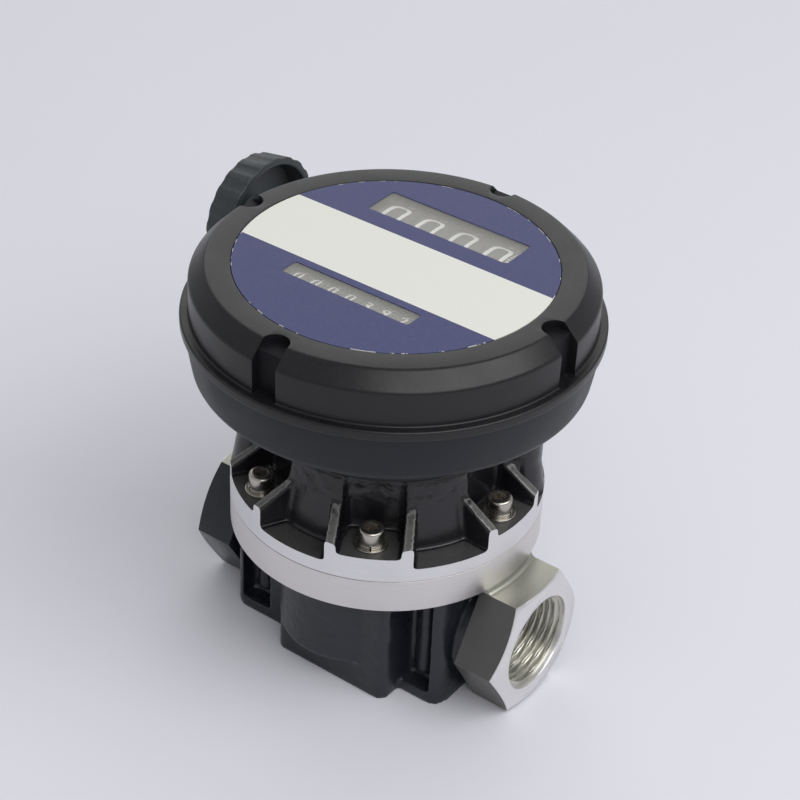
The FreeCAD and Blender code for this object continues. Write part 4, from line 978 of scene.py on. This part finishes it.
# %% Body
FLANGE_Z, BLOCK_TOP = 47.5, 49.0
BLOCK_HALF_X, BLOCK_HALF_Y, BLOCK_X = 44.8, 26.5, -1.3
CHAMBER_R, CHAMBER_Y, CHAMBER_FOOT = 25.6, abs(axis_of("drive_rotor")[1]), 12.3
FOOT_HALF_X, FOOT_HALF_Y, FOOT_X, FOOT_Y = 23.2, 18.0, 3.8, 17.4
CORES_X, CORE_HALF_X, CORE_DEPTH, CORE_FLOOR = (-36.0, 33.0), 6.0, 7.0, 4.5
PAD_R, PAD_FOOT = 3.3, 8.0
PORT_NECK_R, PORT_NECK_END = 19.5, 49.5
BASE_CLEAR = 1.5                        # the machined base keeps flat
block = prism("block", oblong(BLOCK_HALF_X, BLOCK_HALF_Y, 4.5, BLOCK_X), 0, BLOCK_TOP)
rough = [block, prism("flange", disc(RIM_R - 0.4), FLANGE_Z, 50.0)]
for sy in (-1, 1):
    rough.append(prism("chamber", disc(CHAMBER_R, 0, sy * CHAMBER_Y), CHAMBER_FOOT, BLOCK_TOP))
    rough.append(prism("foot", oblong(FOOT_HALF_X, FOOT_HALF_Y, 3.0, FOOT_X, sy * FOOT_Y), 0, BLOCK_TOP))
    for core_x in CORES_X:
        core = oblong(CORE_HALF_X, CORE_DEPTH, 2.0, core_x, sy * BLOCK_HALF_Y)
        combine(block, prism("core", core, CORE_FLOOR, FLANGE_Z))
        pad = disc(PAD_R, core_x, sy * (BLOCK_HALF_Y - CORE_DEPTH), 32)
        rough.append(prism("pad", pad, PAD_FOOT, BLOCK_TOP))
neck = prism("neck", disc(PORT_NECK_R), -PORT_NECK_END, PORT_NECK_END)
rough.append(along_x(neck, 0, PORT_AXIS_Z))
body = gather("body_casting", rough)
cast_skin(body, voxel=0.7, smoothing=4)
paint_sags(body, depth=0.12, scale=300.0, where=lambda p: 1.0 if p.z > BASE_CLEAR else 0.0)
dress(body, "meter", "painted casting", body_paint)
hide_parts("meter_body")

# %% Flange
FLANGE_IN_R = 40.0
flange = spin("flange_rim", eased([
    (FLANGE_IN_R, 48.2, 0), (RIM_R - 0.8, FLANGE_Z + 0.05, 0.4), (RIM_R, FLANGE_Z + 0.4, 0.3),
    (RIM_R, PARTING_Z - SEAM, 0.2), (FLANGE_IN_R, PARTING_Z - SEAM, 0)]), sides=256)
dress(flange, "meter", "painted casting", flange_metal)

# %% Hollow curve from the flange's rim down to each hexagon
HEX_FLATS = 45.0
COVE_R, COVE_SINK = 2.0, 0.1
COVE_TOP_R, COVE_FOOT_Z = RIM_R - COVE_SINK, PORT_AXIS_Z + HEX_FLATS / 2 - COVE_SINK
WEB_IN_R, WEB_FOOT, WEB_HALF = 46.0, 44.0, 12.9
hollow = []
for degrees in range(0, 91, 10):
    a = math.radians(degrees)
    hollow.append((COVE_TOP_R + COVE_R * (1 - math.cos(a)), COVE_FOOT_Z + COVE_R * (1 - math.sin(a))))
hollow += [(RIM_R + COVE_R, WEB_FOOT), (WEB_IN_R, WEB_FOOT), (WEB_IN_R, COVE_FOOT_Z + COVE_R)]
# the webs take the milled metal, whose darker greenish colour is painted reflection
for side_name, sign in (("right", 1), ("left", -1)):
    web = spin("web_" + side_name, hollow, sides=256)
    side = [(sign * x, y) for x, y in oblong(15, WEB_HALF, 0, 55)]
    combine(web, prism("between", side, 40, 60), "INTERSECT")
    dress(web, "meter", "painted casting", milled_reflection_metal)

# %% [markdown]
# ## Ports
# Each port is a hexagon with a turned crown on its end face. Its top flat was milled bare with the flange;
# the other flats keep their paint, which on the right port is lighter as painted light where the lamp falls,
# while the left port keeps the body's paint. The pipe thread is a real helix: a grid whose radius rises and
# falls with both the angle and the depth.

# %% Thread
PORT_FACE = span("meter_body")[1][0]
THREAD_PITCH, THREAD_R, THREAD_DEPTH = 2.309, 15.15, 1.45
THREAD_FOOT, THREAD_END, THREAD_FADE = 45.6, PORT_FACE - 1.6, 2.0
SLEEVE_R = 17.2


def thread_sleeve(name):
    """Closed ring with a helical thread inside."""
    sides, rows = 96, 72
    points, faces = [], []
    for k in range(rows + 1):
        h = THREAD_FOOT + (THREAD_END - THREAD_FOOT) * k / rows
        fade = min(1.0, (h - THREAD_FOOT) / THREAD_FADE)
        for i in range(sides):
            phase = (h / THREAD_PITCH - i / sides) % 1.0
            r = THREAD_R + THREAD_DEPTH * abs(phase * 2 - 1) * fade
            points.append((r * math.cos(2 * math.pi * i / sides), r * math.sin(2 * math.pi * i / sides), h))
    outer = len(points)
    for h in (THREAD_FOOT, THREAD_END):
        points += [(x, y, h) for x, y in disc(SLEEVE_R, sides=sides)]
    for i in range(sides):
        j = (i + 1) % sides
        for k in range(rows):
            faces.append([k * sides + i, k * sides + j, (k + 1) * sides + j, (k + 1) * sides + i])
        faces.append([i, j, outer + j, outer + i])
        faces.append([rows * sides + i, rows * sides + j, outer + sides + j, outer + sides + i])
        faces.append([outer + i, outer + j, outer + sides + j, outer + sides + i])
    return add(name, points, faces)


print("turns of thread:", round((THREAD_END - THREAD_FOOT) / THREAD_PITCH, 1))

# %% Hexagon
HEX_FOOT, CUT_FOOT, CUT_END = 48.5, 40.0, 70.0
CROWN_R, HOLE_R, MOUTH_R = 22.0, 16.9, 17.1


def hexagon(flats, start=0):
    """Outline of a hexagon from its width across flats, with its first corner at an angle in degrees."""
    corner = flats / math.sqrt(3)
    angles = [math.radians(start + 60 * i) for i in range(6)]
    return [(corner * math.cos(a), corner * math.sin(a)) for a in angles]


def hexagon_port(name):
    """Hexagon along +Z with a crowned end and a plain hole for the thread."""
    bar = prism(name, hexagon(HEX_FLATS), HEX_FOOT, PORT_FACE)
    crown = spin("crown", [
        (0, CUT_FOOT), (45.0, CUT_FOOT), (27.98, 62.08), (CROWN_R, PORT_FACE), (0, PORT_FACE)], sides=192)
    combine(bar, crown, "INTERSECT")
    hole = spin("hole", [
        (0, CUT_FOOT), (HOLE_R, CUT_FOOT), (HOLE_R, PORT_FACE - 1.8), (MOUTH_R, PORT_FACE + 0.2),
        (MOUTH_R, CUT_END), (0, CUT_END)], sides=96)
    combine(bar, hole)
    return bar


print("corners of the hexagon at radius", round(hexagon(HEX_FLATS)[0][0], 2))


# %% Ports
PAINT, BARE, MILLED = 0, 1, 2
SIDEWAYS, LEVEL = 0.2, 0.9              # parts of a face's normal along the pipe and upward
FLATS_FROM_R = 18.0


def port_face(p, sign):
    """Which of a port's three materials a face has; sign is the side of the meter that the port is on."""
    from_axis = math.hypot(p.center.y, p.center.z - PORT_AXIS_Z * MM)
    if abs(p.normal.x) < SIDEWAYS and from_axis > FLATS_FROM_R * MM:
        return MILLED if p.normal.z >= LEVEL else PAINT
    return PAINT if p.normal.x * sign < -SIDEWAYS else BARE


# the right port's flats take the lighter paint as painted light; the left port's flats keep the body's paint
for side_name, sign, paint in (("right", 1, lit_port_paint), ("left", -1, body_paint)):
    port = along_x(hexagon_port("hexagon_" + side_name), 0, PORT_AXIS_Z)
    thread = along_x(thread_sleeve("thread_" + side_name), 0, PORT_AXIS_Z)
    for piece in (port, thread):
        piece.data.transform(Matrix.Rotation(math.radians(90 - 90 * sign), 4, "Z"))
    soften(port, width=0.25, angle=25, segments=2)
    dress(port, "meter", "painted casting", paint, port_metal, milled_reflection_metal)
    for p in port.data.polygons:
        p.material_index = port_face(p, sign)
    dress(thread, "meter", "painted casting", shaded_thread_metal, sharp=60)

# %% [markdown]
# ## Screws
# Six socket screws with a spring washer and a flat washer each. The head is turned, its socket is a cut
# hexagon, and the spring washer is a ring with a slit.

# %% One screw with its washers
HEAD_R, HEAD_TOP = 4.25, span("cover_screws")[1][2]
SOCKET_FLATS, SOCKET_FLOOR = 4.0, HEAD_Z + 1.2
WASHER_IN_R, WASHER_R, SPRING_R = 2.7, 5.5, 4.4
WASHER_TOP = SEAT_Z + 0.9
screw = spin("cover_screw_heads", eased([
    (0, HEAD_Z, 0), (HEAD_R - 0.05, HEAD_Z, 0.3), (HEAD_R, HEAD_TOP, 1.3), (0, HEAD_TOP, 0)]), sides=64)
combine(screw, prism("socket", hexagon(SOCKET_FLATS, start=15), SOCKET_FLOOR, HEAD_TOP + 3))
soften(screw, width=0.12, angle=40, segments=2)
flat_washer = spin("flat_washer", eased([
    (WASHER_IN_R, SEAT_Z, 0.1), (WASHER_R, SEAT_Z, 0.2), (WASHER_R, WASHER_TOP, 0.3),
    (WASHER_IN_R, WASHER_TOP, 0.2)]), sides=64)
spring_washer = spin("spring_washer", eased([
    (WASHER_IN_R, WASHER_TOP, 0.1), (SPRING_R, WASHER_TOP, 0.2), (SPRING_R, HEAD_Z, 0.2),
    (WASHER_IN_R, HEAD_Z, 0.1)]), sides=64)
slit = prism("slit", [(2, -0.3), (7, 0.2), (7, 0.8), (2, 0.3)], SEAT_Z, HEAD_Z + 2)
combine(spring_washer, slit)
washers = gather("cover_washer_set", [flat_washer, spring_washer])
print("screw head", round(HEAD_TOP - HEAD_Z, 1), "mm high")

# %% Rings of screws and washers
SCREW_CIRCLE = 45.2
for piece, node_name in ((screw, "cover_screws"), (washers, "cover_washers")):
    piece.data.transform(Matrix.Translation((SCREW_CIRCLE * MM, 0, 0)))
    ring_name = piece.name + "_ring"
    ring = gather(ring_name, turned_copies(piece, SCREW_COUNT))
    dress(ring, "meter", "stainless steel", stainless, sharp=40)
    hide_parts(node_name)

# %% [markdown]
# ## Reset knob
# The knob keeps its solid's shape, with flutes round the rim and a hollow towards the bezel. A copy of it
# gets the slight taper that lets a moulding leave its mould, shallower flutes, and rounded edges.

# %% Knob
(KNOB_OUTER_X, _, _), (KNOB_INNER_X, _, _) = span("reset_knob")
KNOB_R, KNOB_FLUTES_R, KNOB_HUB_R = 24.0, 22.0, 12.0
KNOB_SHARE, KNOB_TAPER, FLUTE_FILL = 0.985, 0.08, 0.4


def mould_knob(point):
    """Draw a point of the knob's rim in, more towards the outer end, and fill the flutes in part."""
    arm = Vector((0, point.y - RESET_Y * MM, point.z - RESET_Z * MM))
    out = arm.length / MM
    if out > KNOB_HUB_R:
        along = (point.x / MM - KNOB_INNER_X) / (KNOB_OUTER_X - KNOB_INNER_X)
        fill = FLUTE_FILL * max(0.0, KNOB_R - out) if out > KNOB_FLUTES_R else 0.0
        arm = arm * (KNOB_SHARE - KNOB_TAPER * along) + arm.normalized() * fill * MM
        point.y, point.z = arm.y + RESET_Y * MM, arm.z + RESET_Z * MM


knob, knob_work = solid_copy("knob_grip", "reset_knob")
bmesh.ops.dissolve_limit(knob_work, angle_limit=math.radians(1), verts=knob_work.verts,
                         edges=knob_work.edges)
for v in knob_work.verts:
    mould_knob(v.co)
knob_work.to_mesh(knob.data)
knob_work.free()
soften(knob, width=1.0, angle=25)
dress(knob, "knob", "black plastic", knob_plastic)
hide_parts("reset_knob")

# %% [markdown]
# ## Pieces that keep their solids
# Shafts, plates, bushes and gears inside the register are right as modelled, so they only get the finish
# of what they are made of.

# %% Finishes for the solids
kept = {
    "drive_oval_gear idler_oval_gear": rotor_plastic,
    "drive_gear_bush idler_gear_bush lower_spindle_bush upper_spindle_bush knob_bush worm": bush_brass,
    "drive_magnet follower_magnet": magnet_metal,
    "body_seal housing_gasket lens_gasket knob_seal": seal_rubber,
    "worm_wheel cross_gear reset_idler_gear total_idler_gear reset_input_gear total_input_gear "
    "reset_carry_pinions total_carry_pinions": gear_plastic,
    "frame_base_plate left_side_plate right_side_plate": sheet_steel,
    "housing_screws frame_screws knob_screw rotor_pins idler_studs counter_shaft reset_carry_shaft "
    "total_carry_shaft cross_shaft register_spindle reset_shaft": stainless,
    "lens": clear_lens,
    " ".join(n for n in nodes if n.startswith(("reset_wheel", "total_wheel"))): wheel_plastic,
}
for names, material in kept.items():
    for name in names.split():
        mesh = nodes[name].data
        mesh.materials.clear()
        mesh.materials.append(material)
        for p in mesh.polygons:
            p.material_index = 0
print("solids with a finish:", sum(len(names.split()) for names in kept))
